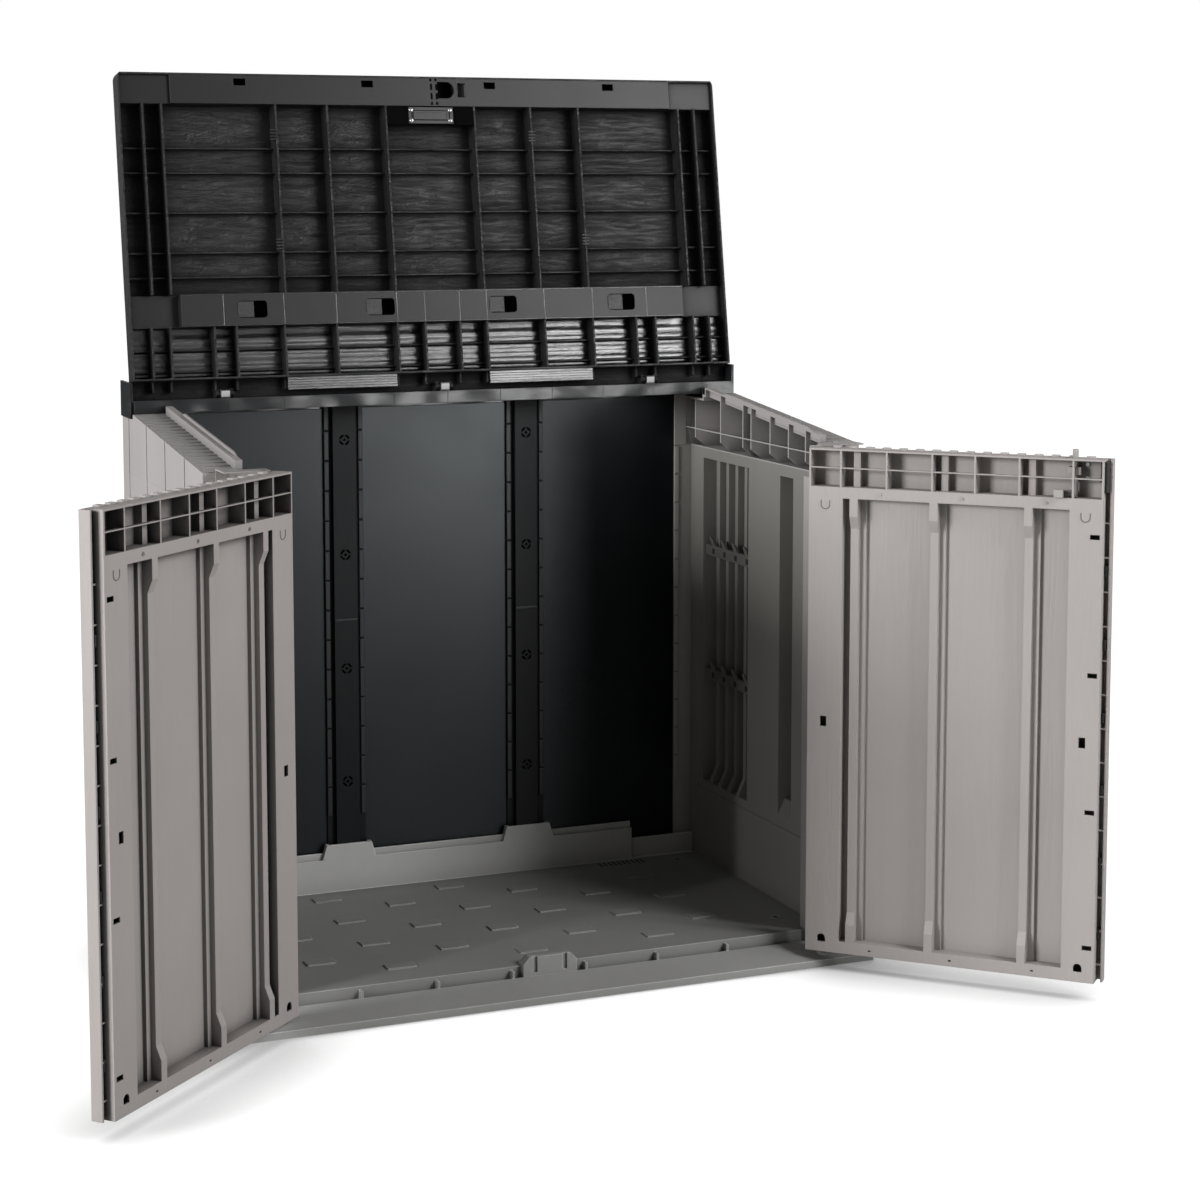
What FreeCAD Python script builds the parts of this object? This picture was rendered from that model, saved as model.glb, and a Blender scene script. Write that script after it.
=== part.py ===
import FreeCAD, Part
import math
import os

# Garden storage box with a hinged lid and two front doors, in millimetres.
# +Z is up, the front looks along -Y, and the origin is the middle of the tray's underside.
# The lid and the doors are modelled standing open.

# Tray that everything stands on
base_width = 1455.0
base_depth = 812.0
sill_front_height = 15.0
sill_rear_height = 35.0
sill_depth = 81.0
gutter_width = 14.0
gutter_rib_pitch = 165.0
gutter_rib_thickness = 5.0
gutter_rib_drop = 7.0
floor_height = 56.0
floor_plate = 6.0
wall_seat_height = 24.0
tray_rib = 8.0
tray_columns = 8
tray_rows = 4
upstand_height = 103.0
upstand_thickness = 6.0
back_slot_width = 12.0
back_skirt_thickness = 4.0
slot_floor_height = 60.0
rear_step_length = 980.0
rear_step_height = 132.0
rear_step_wall = 3.0
rear_step_groove = 36.0
back_lip_height = 146.0
socket_height = 166.0
socket_wall = 7.0
socket_shoulder = 10.0
socket_clearance = 1.0
pad_length = 62.0
pad_width = 34.0
pad_rise = 3.0
pad_pitch_x = 296.0
pad_pitch_y = 88.5
pad_front_margin = 94.0
pad_margin = 60.0
pivot_boss_radius = 12.0
pivot_bore_floor = 8.0

# Side walls
wall_inset = 2.5
wall_depth = 70.0
wall_front_setback = 86.0
panel_thickness = 5.0
plank_pitch = 169.5
first_plank = 63.0
groove_width = 6.0
groove_depth = 2.5
jamb_width = 112.0
jamb_thickness = 6.0
jamb_return = 26.0
jamb_sheet = 4.0
strip_width = 110.0
strip_thickness = 4.5
liner_sheet = 4.0
liner_recess_depth = 35.0
liner_recess_bottom = 250.0
liner_recess_top_margin = 24.0
wide_recess_length = 245.0
wide_recess_from_rear = 70.0
narrow_recess_length = 65.0
narrow_recess_from_wide = 160.0
liner_rib_width = 14.0
liner_rib_rise = 18.0
liner_rib_count = 4
liner_foot_height = 42.0
liner_foot_lip = 6.0
liner_slot_height = 232.0
liner_slot_width = 8.0
liner_slot_depth = 2.0
liner_slot_margin = 40.0

# Tool racks held on the ribs of the wide recess
rack_levels = (("lower", 500.0), ("upper", 800.0))
rack_end_gap = 2.0
rack_bar_height = 13.0
rack_bar_depth = 9.0
rack_hook_width = 9.0
rack_hook_height = 48.0
rack_hook_reach = 15.0
rack_hook_thickness = 6.0

# Sloping upper sections of the side walls
roof_slope = 5.7
lid_ledge_gap = 15.0
upper_section_height = 69.0
top_plate = 5.0
kerb_width = 15.0
kerb_rise = 18.0
kerb_plate = 4.0
kerb_flange_thickness = 3.0
kerb_flange_height = 12.0
kerb_flange_notch = 26.0
kerb_front_gap = 14.0
kerb_rear_gap = 6.0
fin_thickness = 4.0
fin_rise = 24.0
fin_end_slope = 35.0
fin_front_gap = 40.0
fin_rear_gap = 100.0
ledge_rib_pitch = 34.0
ledge_rib_width = 5.0
ledge_rib_rise = 2.0
lattice_rib = 4.0
lattice_from_rear = (54.0, 194.0, 313.0, 355.0, 452.0, 543.0, 625.0)
lattice_front_gap = 40.0
lattice_toe = 24.0
lattice_toe_depth = 15.0
lattice_bar = 3.0
lattice_bar_height = 44.0
section_floor = 3.0

# Back wall
sheet_thickness = 3.0
sheet_gap = 0.6
sheet_edge_gap = 1.0
post_offset = 222.0
post_flange_width = 92.0
post_centre_width = 55.0
post_centre_rise = 11.0
post_sheet = 4.0
post_web_width = 16.0
post_joint_height = 690.0
post_joint_gap = 0.8
rosette_count = 4
rosette_pitch = 264.7
rosette_top_drop = 90.0
rosette_radius = 12.5
rosette_ring = 4.5
rosette_web = 4.0
rosette_hole_radius = 3.0

# Hinge rail along the top of the back, with an end cap on each wall
hinge_from_back = 79.0
hinge_height = 1226.0
rail_land = 34.0
rail_front_gap = 27.0
rail_drop = 8.5
rail_front_height = 27.5
rail_trough = 18.0
rail_sheet = 4.0
rail_seat_drop = 48.0
rail_rear_overlap = 14.0
rail_block_rise = 24.0
lid_stop_gap = 0.8
cap_length = 87.5
cap_front_step = 1.0
cap_cheek = 6.0
cap_cheek_rise = 30.0
cap_cheek_setback = 11.0

# Lid, measured forward from its hinge axis and up from that axis when it lies shut
lid_lean = 9.2
lid_overhang = 12.55
lid_side_gap = 2.5
lid_skin = 3.0
lid_top_level = 25.0
lid_rib_drop = 19.5
lid_rim = 4.0
lid_rear_lip = 14.0
lid_front_lip = 5.0
lid_corner_radius = 18.0
lid_rear_rib = 31.0
lid_rib = 4.0
lid_cross_rib = 3.0
lid_shallow_level = 3.0
lid_side_zone = 114.0
upper_ribs_from_middle = (107.0, 246.0, 366.0)
upper_ribs_from_rim = (49.0, 91.0)
lower_ribs_from_middle = (42.0, 108.0, 251.0, 372.0)
lower_ribs_from_rim = (43.0, 85.0, 183.0, 233.0)
cross_rib_places = (50.0, 97.0, 258.0, 313.0, 402.0, 491.0, 546.0)
crossbar_start = 147.0
crossbar_width = 72.0
crossbar_drop = 2.5
crossbar_sheet = 3.0
crossbar_slot_length = 69.0
crossbar_slot_width = 38.0
crossbar_slot_corner = 9.0
band_width = 64.0
band_sheet = 4.0
band_slot_length = 28.0
band_slot_width = 15.0
band_slot_from_front = 19.0
band_slot_places = (148.0, 445.0)
lid_corner_length = 112.0
lid_corner_level = 12.0
pocket_width = 40.0
pocket_length = 38.0
pocket_place = 20.0
pocket_margin = 8.0
tab_from_rail_end = 127.0
tab_width = 22.0
tab_half_depth = 9.0
tab_rise = 9.0
ear_width = 8.0
ear_radius = 7.0
ear_reach = 10.0
ear_gap = 0.8
hinge_pin_radius = 4.0
running_clearance = 0.05
shroud_start = 112.0
shroud_length = 257.0
shroud_near = 6.0
shroud_drop = 4.0
plate_bracket_width = 44.0
plate_bracket_depth = 10.0
plate_bracket_gap = 1.0
metal_plate_length = 108.0
metal_plate_width = 38.0
metal_plate_thickness = 2.0
rivet_radius = 5.5
rivet_rise = 3.0
rivet_margin = 7.0
keeper_length = 44.0
keeper_opening = 32.0
keeper_thickness = 2.0
keeper_clearance = 3.5
keeper_crown_level = 16.0

# Doors, measured from the pivot to the free edge and from the pivot towards the inside
pivot_setback = 30.0
door_foot_gap = 5.0
door_lid_gap = 6.0
door_centre_gap = 1.5
door_jamb_overlap = 33.0
door_hinge_overlap = 23.5
door_skin_offset = 8.0
door_thickness = 41.0
door_skin = 4.0
door_rim = 4.0
door_free_step = 14.0
door_lip_depth = 24.0
lip_rib_pitch = 71.0
lip_rib_thickness = 3.0
lip_rib_depth = 10.0
door_plank_pitch = 127.0
left_door_angle = 137.0
right_door_angle = 134.6
pivot_pin_radius = 6.0
pivot_pin_engagement = 58.0
pivot_pin_end_gap = 2.0
pivot_column_radius = 11.0
pivot_thrust_gap = 0.4
door_band_height = 81.0
door_shelf = 4.0
band_ribs_from_hinge = (46.0, 146.0, 244.0, 335.0)
band_rib_from_free = 174.0
band_rail_height = 2.5
band_rail_depth = 9.0
band_bars_from_hinge = (69.0, 259.0)
band_bar_from_free = 159.0
band_bar_width = 15.0
band_bar_depth = 18.0
door_liner = 4.0
recess_hinge_margin = 74.5
recess_free_margin = 69.0
recess_bottom_margin = 26.0
recess_top_margin = 24.0
recess_depth = 30.0
recess_sheet = 3.0
ridges_from_hinge = (15.0, 188.0)
ridge_from_free = 94.0
ridge_width = 18.0
ridge_rise = 19.0
ridge_end_length = 38.0
ridge_end_slope = 26.0
ridge_step_width = 13.0
ridge_step_rise = 8.0
stile_slot_first = 74.0
stile_slot_pitch = 286.0
stile_slot_count = 4
stile_slot_length = 20.0
stile_slot_height = 10.0
stile_slot_inset = 16.0
stile_square_height = 505.0
stile_square_width = 14.0
stile_square_length = 22.0
arch_height = 26.0
arch_radius = 9.0
arch_straight = 4.0
hinge_stile_centre = 35.5
free_stile_centre = 34.5
liner_screws_from_hinge = (156.5, 332.5)
liner_screw_from_free = 117.0
liner_screw_drop = 12.0
liner_screw_radius = 3.5
liner_screw_rise = 1.5

# Upper hinge brackets of the doors
bracket_thickness = 3.0
bracket_lift = 0.5
bracket_margin = 10.5
bracket_reach = 82.5
bracket_arm_back = 24.0
bracket_tab_width = 38.0
bracket_tab_height = 46.0
bracket_screw_radius = 4.0
bracket_screw_rise = 1.5
bracket_screw_spacing = 20.0

# Slide bolt of the right door and its fittings
bolt_from_free = 63.0
bolt_offset = 28.0
bolt_radius = 6.0
bolt_clearance = 0.4
bolt_stand = 18.0
bolt_rib_strip = 8.0
bolt_foot_gap = 1.5
bolt_arm_height = 12.0
bolt_arm_width = 10.0
knob_from_bolt = 28.0
knob_width = 18.0
knob_height = 16.0
knob_reach = 11.0
knob_gap = 0.4
guide_width = 26.0
guide_height = 16.0
guide_drop = 14.0
guide_wall = 4.0
guide_flange = 3.0
guide_flange_length = 50.0
guide_flange_height = 46.0
guide_screw_from_bolt = 23.0
guide_screw_radius = 4.0
guide_screw_rise = 3.0
guide_screw_spacing = 28.0
lock_length = 10.0
lock_height = 62.0
lock_depth = 24.0
lock_drop = 5.0

# Striker on the sill that the shut doors meet
striker_width = 120.0
striker_height = 76.0
striker_back = 12.0
striker_slot_spacing = 67.0
striker_slot_width = 10.0
striker_slot_depth = 5.0
striker_slot_foot = 18.0
striker_shoulder = 14.0

# Places that follow from the sizes
half_width = base_width / 2
front_y = -base_depth / 2
rear_y = base_depth / 2
sill_back_y = front_y + sill_depth
lip_y = sill_back_y + gutter_width
skirt_y = rear_y - back_skirt_thickness
slot_front_y = skirt_y - back_slot_width
upstand_y = slot_front_y - upstand_thickness
wall_outer_x = half_width - wall_inset
panel_inner_x = wall_outer_x - panel_thickness
liner_x = wall_outer_x - wall_depth
jamb_inner_x = panel_inner_x - jamb_width
wall_front_y = front_y + wall_front_setback
jamb_back_y = wall_front_y + jamb_thickness
wall_back_y = skirt_y - sheet_gap
sheet_back_y = wall_back_y - sheet_gap
sheet_front_y = sheet_back_y - sheet_thickness
strip_back_y = sheet_front_y - sheet_gap
strip_front_y = strip_back_y - strip_thickness
top_inner_x = liner_x - kerb_width
hinge_y = rear_y - hinge_from_back
slope = math.radians(roof_slope)
lean = math.radians(lid_lean)
rail_seat_height = hinge_height - rail_seat_drop
rail_top = hinge_height - rail_drop
rail_front_y = hinge_y - rail_front_gap
rail_half = half_width - cap_length
rail_block_top = hinge_height + rail_block_rise
rail_block_y = hinge_y + rail_block_rise * math.tan(lean) + lid_top_level / math.cos(lean) + lid_stop_gap
cap_front_y = rail_front_y - cap_front_step
ledge_back_y = cap_front_y - cap_front_step
cheek_x = half_width - cap_cheek
lid_half = cheek_x - lid_side_gap
lid_rim_x = lid_half - lid_rim
lid_zone_x = lid_half - lid_side_zone
lid_under_skin = lid_top_level - lid_skin
lid_low = -lid_rib_drop
lid_corner_x = lid_rim_x - lid_corner_length
crossbar_end = crossbar_start + crossbar_width
tab_places = (-(rail_half - tab_from_rail_end), 0.0, rail_half - tab_from_rail_end)
pivot_x = jamb_inner_x + door_jamb_overlap - door_hinge_overlap
pivot_y = front_y + pivot_setback
door_free = pivot_x - door_centre_gap
liner_free = door_free - door_free_step
door_back = door_skin_offset + door_skin
door_inner = door_skin_offset + door_thickness
door_bottom = sill_rear_height + door_foot_gap
door_front_y = pivot_y + door_skin_offset
lid_length = (hinge_y - door_front_y) / math.cos(slope) + lid_overhang
band_start = lid_length - lid_rim - band_width
band_end = lid_length - lid_rim
bolt_place = liner_free - bolt_from_free
recess_near = recess_hinge_margin - door_hinge_overlap
recess_far = liner_free - recess_free_margin


def ledge_level(y):
    """Height of the walls' sloping top, parallel to the shut lid."""
    return hinge_height - (hinge_y - y) * math.tan(slope) - (lid_rib_drop + lid_ledge_gap) / math.cos(slope)


def lid_low_level(y):
    """Height of the shut lid's rib edges."""
    return hinge_height - (hinge_y - y) * math.tan(slope) - lid_rib_drop / math.cos(slope)


door_top = lid_low_level(door_front_y) - door_lid_gap
band_bottom = door_top - door_band_height
wall_joint = ledge_level(wall_front_y) - upper_section_height
bracket_bottom = door_top + bracket_lift
bracket_top = bracket_bottom + bracket_thickness
post_top = rail_top - rail_trough - rail_sheet
post_flange_y = strip_back_y - post_sheet
post_face_y = post_flange_y - post_centre_rise
rear_step_y = post_face_y - socket_clearance - socket_wall
keeper_x = pivot_x - bolt_place
keeper_place = (hinge_y - pivot_y - bolt_offset + lid_rib_drop * math.sin(slope)) / math.cos(slope)


def vector(x, y, z):
    return FreeCAD.Vector(x, y, z)


def box(x0, x1, y0, y1, z0, z1):
    return Part.makeBox(x1 - x0, y1 - y0, z1 - z0, vector(x0, y0, z0))


def upright(radius, x, y, z0, z1):
    return Part.makeCylinder(radius, z1 - z0, vector(x, y, z0), vector(0, 0, 1))


def crosswise(radius, x0, x1, y, z):
    return Part.makeCylinder(radius, x1 - x0, vector(x0, y, z), vector(1, 0, 0))


def outline(points):
    """Flat face inside a closed run of straight edges."""
    return Part.Face(Part.makePolygon(points + points[:1]))


def prism_x(points, x0, x1):
    return outline([vector(x0, y, z) for y, z in points]).extrude(vector(x1 - x0, 0, 0))


def prism_y(points, y0, y1):
    return outline([vector(x, y0, z) for x, z in points]).extrude(vector(0, y1 - y0, 0))


def joined(shapes):
    return shapes[0].multiFuse(shapes[1:]).removeSplitter()


def mirrored(shape):
    return shape.mirror(vector(0, 0, 0), vector(1, 0, 0))


def steps(start, end, pitch):
    """Places from start towards end, one pitch apart."""
    count = int(abs(end - start) / pitch) + 1
    sign = 1 if end > start else -1
    return [start + sign * pitch * i for i in range(count)]


def save(name, shape):
    shape.exportStep(os.path.join("parts", name + ".step"))
    print(name, len(shape.Solids), shape.isValid(), round(shape.Volume / 1000, 1))


def save_pair(name, right_shape):
    save("right_" + name, right_shape)
    save("left_" + name, mirrored(right_shape))


# Base: one moulded tray with a sloping sill, a gutter, a padded floor and sockets for the posts
def floor_pads():
    pads = []
    rows = steps(lip_y + pad_front_margin, rear_step_y - pad_margin, pad_pitch_y)
    for row, y in enumerate(rows):
        first = pad_pitch_x / 2 * (row % 2) - pad_pitch_x * math.ceil(liner_x / pad_pitch_x)
        for x in steps(first, liner_x, pad_pitch_x):
            if abs(x) + pad_length / 2 < liner_x - pad_margin:
                pads.append(box(x - pad_length / 2, x + pad_length / 2, y - pad_width / 2, y + pad_width / 2,
                                floor_height - pad_rise, floor_height + pad_rise))
    return pads


def post_socket(x):
    """Raised seat round a post's foot, with slanted shoulders."""
    half = post_flange_width / 2 + socket_clearance + socket_wall
    foot = floor_height - pad_rise
    wide = half + socket_shoulder
    points = [(x - wide, foot), (x - wide, rear_step_height), (x - half, socket_height),
              (x + half, socket_height), (x + wide, rear_step_height), (x + wide, foot)]
    return prism_y(points, rear_step_y, slot_front_y)


def rear_step():
    """Step along the back of the floor, grooved along its top, and the lip in front of the sheets."""
    half = rear_step_length / 2
    wall = rear_step_wall
    step = box(-half, half, rear_step_y, upstand_y, floor_height - pad_rise, rear_step_height)
    groove = box(-half + wall, half - wall, rear_step_y + wall, upstand_y,
                 rear_step_height - rear_step_groove, rear_step_height)
    lip = box(-half, half, upstand_y, slot_front_y, floor_height, back_lip_height)
    return [step.cut(groove), lip]


def base_tray():
    profile = [(front_y, 0), (front_y, sill_front_height), (sill_back_y, sill_rear_height),
               (sill_back_y, wall_seat_height), (lip_y, wall_seat_height), (lip_y, floor_height),
               (upstand_y, floor_height), (upstand_y, upstand_height), (slot_front_y, upstand_height),
               (slot_front_y, slot_floor_height), (skirt_y, slot_floor_height), (skirt_y, upstand_height),
               (rear_y, upstand_height), (rear_y, 0)]
    body = prism_x(profile, -half_width, half_width)
    seats = [box(liner_x, half_width, sill_back_y, skirt_y, wall_seat_height, socket_height),
             box(-half_width, -liner_x, sill_back_y, skirt_y, wall_seat_height, socket_height)]
    body = body.cut(seats)
    added = floor_pads()
    added += rear_step()
    added += [post_socket(-post_offset), post_socket(post_offset)]
    for x in steps(gutter_rib_pitch / 2, jamb_inner_x - gutter_rib_pitch / 4, gutter_rib_pitch):
        for place in (-x, x):
            added.append(box(place - gutter_rib_thickness / 2, place + gutter_rib_thickness / 2,
                             sill_back_y, lip_y, wall_seat_height, floor_height - gutter_rib_drop))
    for side in (-1, 1):
        added.append(upright(pivot_boss_radius, side * pivot_x, pivot_y, sill_front_height / 2,
                             door_bottom - pivot_thrust_gap))
    body = joined([body] + added)
    hollows = []
    cell_x = 2 * liner_x / tray_columns
    first_y = lip_y + tray_rib
    cell_y = (upstand_y - first_y) / tray_rows
    for column in range(tray_columns):
        for row in range(tray_rows):
            x = -liner_x + column * cell_x
            y = first_y + row * cell_y
            hollows.append(box(x + tray_rib / 2, x + cell_x - tray_rib / 2, y, y + cell_y - tray_rib,
                               0, floor_height - floor_plate))
    for side in (-1, 1):
        half = post_flange_width / 2 + socket_clearance
        x = side * post_offset
        hollows.append(box(x - half, x + half, post_face_y - socket_clearance, skirt_y, slot_floor_height,
                           socket_height))
        hollows.append(upright(pivot_pin_radius, side * pivot_x, pivot_y, pivot_bore_floor, door_bottom))
    return body.cut(hollows)


def sill_striker():
    """Block behind the shut doors, with two upright slots and sloping shoulders."""
    back_y = lip_y + striker_back
    profile = [(sill_back_y, wall_seat_height), (lip_y, wall_seat_height), (lip_y, floor_height),
               (back_y, floor_height), (back_y, striker_height), (sill_back_y, striker_height)]
    half = striker_width / 2
    body = prism_x(profile, -half, half)
    cuts = []
    for side in (-1, 1):
        tip = [(side * half, striker_height), (side * (half - striker_shoulder), striker_height),
               (side * half, striker_height - striker_shoulder)]
        cuts.append(prism_y(tip, sill_back_y, back_y))
        x = side * striker_slot_spacing / 2
        cuts.append(box(x - striker_slot_width / 2, x + striker_slot_width / 2, sill_back_y,
                        sill_back_y + striker_slot_depth, wall_seat_height + striker_slot_foot, striker_height))
    return body.cut(cuts)


# Right side wall; the left one is its mirror image
def side_panel():
    """Outer planked sheet below the joint."""
    sheet = box(panel_inner_x, wall_outer_x, wall_front_y, wall_back_y, wall_seat_height, wall_joint)
    return sheet.cut(plank_grooves(wall_seat_height, wall_joint))


def plank_grooves(z0, z1):
    grooves = []
    for y in steps(wall_back_y - first_plank, wall_front_y + first_plank, plank_pitch):
        grooves.append(box(wall_outer_x - groove_depth, wall_outer_x,
                           y - groove_width / 2, y + groove_width / 2, z0, z1))
    return grooves


def front_jamb():
    """Upright that the door shuts against, bent back along its inner edge."""
    top = ledge_level(wall_front_y)
    face = box(jamb_inner_x, panel_inner_x, wall_front_y, jamb_back_y, wall_seat_height, top)
    bend = box(jamb_inner_x, jamb_inner_x + jamb_sheet, wall_front_y, jamb_back_y + jamb_return,
               floor_height, wall_joint)
    return joined([face, bend])


def rear_strip():
    """Corner strip in front of the back sheet's edge."""
    return box(panel_inner_x - strip_width, panel_inner_x, strip_front_y, strip_back_y,
               slot_floor_height, wall_joint)


def recess_spans():
    wide_end = strip_front_y - wide_recess_from_rear
    wide_start = wide_end - wide_recess_length
    narrow_end = wide_start - narrow_recess_from_wide
    return (wide_start, wide_end), (narrow_end - narrow_recess_length, narrow_end)


def liner_rib_places():
    start, end = recess_spans()[0]
    gap = (end - start) / (liner_rib_count + 1)
    return [start + gap * (i + 1) for i in range(liner_rib_count)]


def liner_foot(y0, y1):
    """Wedge on which a rib, or the narrow recess, runs out at its foot."""
    floor_x = liner_x + liner_recess_depth
    face_x = floor_x - liner_rib_rise
    foot = liner_recess_bottom
    points = [(floor_x, foot), (liner_x, foot), (liner_x, foot + liner_foot_lip),
              (face_x, foot + liner_foot_height), (floor_x, foot + liner_foot_height)]
    return prism_y(points, y0, y1)


def side_liner():
    """Inner sheet with a wide ribbed recess, a narrow one and a long slot near its foot."""
    top = wall_joint - liner_recess_top_margin
    floor_x = liner_x + liner_recess_depth
    solid = [box(liner_x, liner_x + liner_sheet, jamb_back_y + jamb_sheet, strip_front_y,
                 wall_seat_height, wall_joint)]
    hollow = []
    for start, end in recess_spans():
        solid.append(box(liner_x, floor_x + liner_sheet, start - liner_sheet, end + liner_sheet,
                         liner_recess_bottom - liner_sheet, top + liner_sheet))
        hollow.append(box(liner_x, floor_x, start, end, liner_recess_bottom, top))
    hollow.append(box(liner_x, liner_x + liner_slot_depth, jamb_back_y + liner_slot_margin,
                      strip_front_y - liner_slot_margin, liner_slot_height - liner_slot_width / 2,
                      liner_slot_height + liner_slot_width / 2))
    body = joined(solid).cut(hollow)
    ribs = []
    for y in liner_rib_places():
        ribs.append(box(floor_x - liner_rib_rise, floor_x, y - liner_rib_width / 2, y + liner_rib_width / 2,
                        liner_recess_bottom, top))
        ribs.append(liner_foot(y - liner_rib_width / 2, y + liner_rib_width / 2))
    start, end = recess_spans()[1]
    ribs.append(liner_foot(start, end))
    return joined([body] + ribs)


def tool_rack(level):
    """Bar across the liner's ribs, with a slanted hook at each rib."""
    rib_x = liner_x + liner_recess_depth - liner_rib_rise
    bar_x = rib_x - rack_bar_depth
    start, end = recess_spans()[0]
    pieces = [box(bar_x, rib_x, start + rack_end_gap, end - rack_end_gap, level, level + rack_bar_height)]
    tip = level + rack_hook_height
    for y in liner_rib_places():
        points = [(rib_x, level), (bar_x, level), (bar_x, level + rack_bar_height),
                  (bar_x - rack_hook_reach, tip), (bar_x - rack_hook_reach + rack_hook_thickness, tip),
                  (rib_x, level + 2 * rack_bar_height)]
        pieces.append(prism_y(points, y - rack_hook_width / 2, y + rack_hook_width / 2))
    return joined(pieces)


def along_slope(y0, y1, below, above):
    """Corners of a strip that follows the sloping top between two depths."""
    return [(y0, ledge_level(y0) - below), (y0, ledge_level(y0) + above),
            (y1, ledge_level(y1) + above), (y1, ledge_level(y1) - below)]


def wall_top():
    """Upper wall section: planked skin, sloping ledge with kerb and fin, and a ribbed inside."""
    back = ledge_back_y
    skin = [(wall_front_y, wall_joint), (wall_front_y, ledge_level(wall_front_y)), (back, ledge_level(back)),
            (back, rail_seat_height), (wall_back_y, rail_seat_height), (wall_back_y, wall_joint)]
    pieces = [prism_x(skin, panel_inner_x, wall_outer_x).cut(plank_grooves(wall_joint, hinge_height))]
    pieces.append(prism_x(along_slope(jamb_back_y, back, top_plate, 0), liner_x - kerb_plate, panel_inner_x))
    riser_top = ledge_level(back)
    pieces.append(box(top_inner_x, panel_inner_x, back - top_plate, back,
                      rail_seat_height - top_plate, riser_top - top_plate / 2))
    pieces.append(box(top_inner_x, panel_inner_x, back - top_plate, strip_front_y,
                      rail_seat_height - top_plate, rail_seat_height))
    pieces.append(box(top_inner_x, panel_inner_x, strip_front_y, strip_back_y, wall_joint, rail_seat_height))
    pieces.append(box(liner_x, panel_inner_x, jamb_back_y, strip_front_y,
                      wall_joint, wall_joint + section_floor))
    kerb_front = jamb_back_y + kerb_front_gap
    kerb_back = hinge_y - lid_rear_rib - lid_rib - kerb_rear_gap
    kerb_top = along_slope(kerb_front, kerb_back, kerb_plate - kerb_rise, kerb_rise)
    pieces.append(prism_x(kerb_top, top_inner_x, liner_x))
    riser = along_slope(kerb_front, kerb_back, top_plate / 2, kerb_rise)
    pieces.append(prism_x(riser, liner_x - kerb_plate, liner_x))
    pieces.append(prism_x(along_slope(jamb_back_y, kerb_front + kerb_plate, top_plate, 0), top_inner_x, liner_x))
    pieces.append(prism_x(along_slope(kerb_front, kerb_front + kerb_plate, top_plate / 2, kerb_rise),
                          top_inner_x, liner_x))
    pieces.append(prism_x(along_slope(kerb_back, back, top_plate, 0), top_inner_x, liner_x))
    pieces.append(prism_x(along_slope(kerb_back - kerb_plate, kerb_back, top_plate, kerb_rise),
                          top_inner_x, liner_x))
    fin_front = jamb_back_y + fin_front_gap
    fin_back = back - fin_rear_gap
    seat = kerb_rise - kerb_plate / 2
    fin = [(fin_front, ledge_level(fin_front) + seat),
           (fin_front + fin_end_slope, ledge_level(fin_front + fin_end_slope) + fin_rise),
           (fin_back - fin_end_slope, ledge_level(fin_back - fin_end_slope) + fin_rise),
           (fin_back, ledge_level(fin_back) + seat)]
    pieces.append(prism_x(fin, top_inner_x, top_inner_x + fin_thickness))
    for y in steps(kerb_front, back - ledge_rib_pitch, ledge_rib_pitch):
        pieces.append(prism_x(along_slope(y, y + ledge_rib_width, top_plate / 2, ledge_rib_rise),
                              liner_x, panel_inner_x))
    ribs = [strip_front_y - place for place in lattice_from_rear]
    ribs = [y for y in ribs if y > jamb_back_y + lattice_front_gap]
    foot = wall_joint + section_floor / 2
    knee = wall_joint + lattice_toe
    for y in ribs:
        under_kerb = kerb_front < y < kerb_back
        top = ledge_level(y) - top_plate / 2 if y < back - top_plate else rail_seat_height - top_plate / 2
        edge_top = ledge_level(y) + seat if under_kerb else top
        points = [(panel_inner_x, foot), (liner_x + lattice_toe_depth, foot), (top_inner_x, knee),
                  (top_inner_x, edge_top), (liner_x - kerb_plate / 2, edge_top),
                  (liner_x - kerb_plate / 2, top), (panel_inner_x, top)]
        pieces.append(prism_y(points, y - lattice_rib / 2, y + lattice_rib / 2))
    ends = [y for y in ribs if kerb_front < y < kerb_back] + [kerb_front]
    for rear, front in zip(ends[:-1], ends[1:]):
        if rear - front > 2 * kerb_flange_notch:
            flange = along_slope(front, rear - kerb_flange_notch, kerb_flange_height - kerb_rise, kerb_rise)
            pieces.append(prism_x(flange, top_inner_x, top_inner_x + kerb_flange_thickness))
    bar_level = wall_joint + lattice_bar_height
    pieces.append(box(top_inner_x, top_inner_x + lattice_bar, jamb_back_y + jamb_return, strip_front_y,
                      bar_level, bar_level + lattice_bar))
    return joined(pieces)


# Back: three thin sheets held by two jointed posts
def back_sheet(x0, x1):
    return box(x0, x1, sheet_front_y, sheet_back_y, slot_floor_height, rail_seat_height - sheet_edge_gap)


def rosette(x, z):
    """Vent of four arc slots round a hole, cut through a post's face."""
    start = vector(x, post_face_y, z)
    along = vector(0, 1, 0)
    ring = Part.makeCylinder(rosette_radius, post_sheet, start, along)
    ring = ring.cut(Part.makeCylinder(rosette_radius - rosette_ring, post_sheet, start, along))
    half = rosette_web / 2
    reach = rosette_radius + rosette_web
    webs = [box(x - half, x + half, post_face_y, post_flange_y, z - reach, z + reach),
            box(x - reach, x + reach, post_face_y, post_flange_y, z - half, z + half)]
    arcs = ring.cut(webs)
    return arcs.Solids + [Part.makeCylinder(rosette_hole_radius, post_sheet, start, along)]


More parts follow.
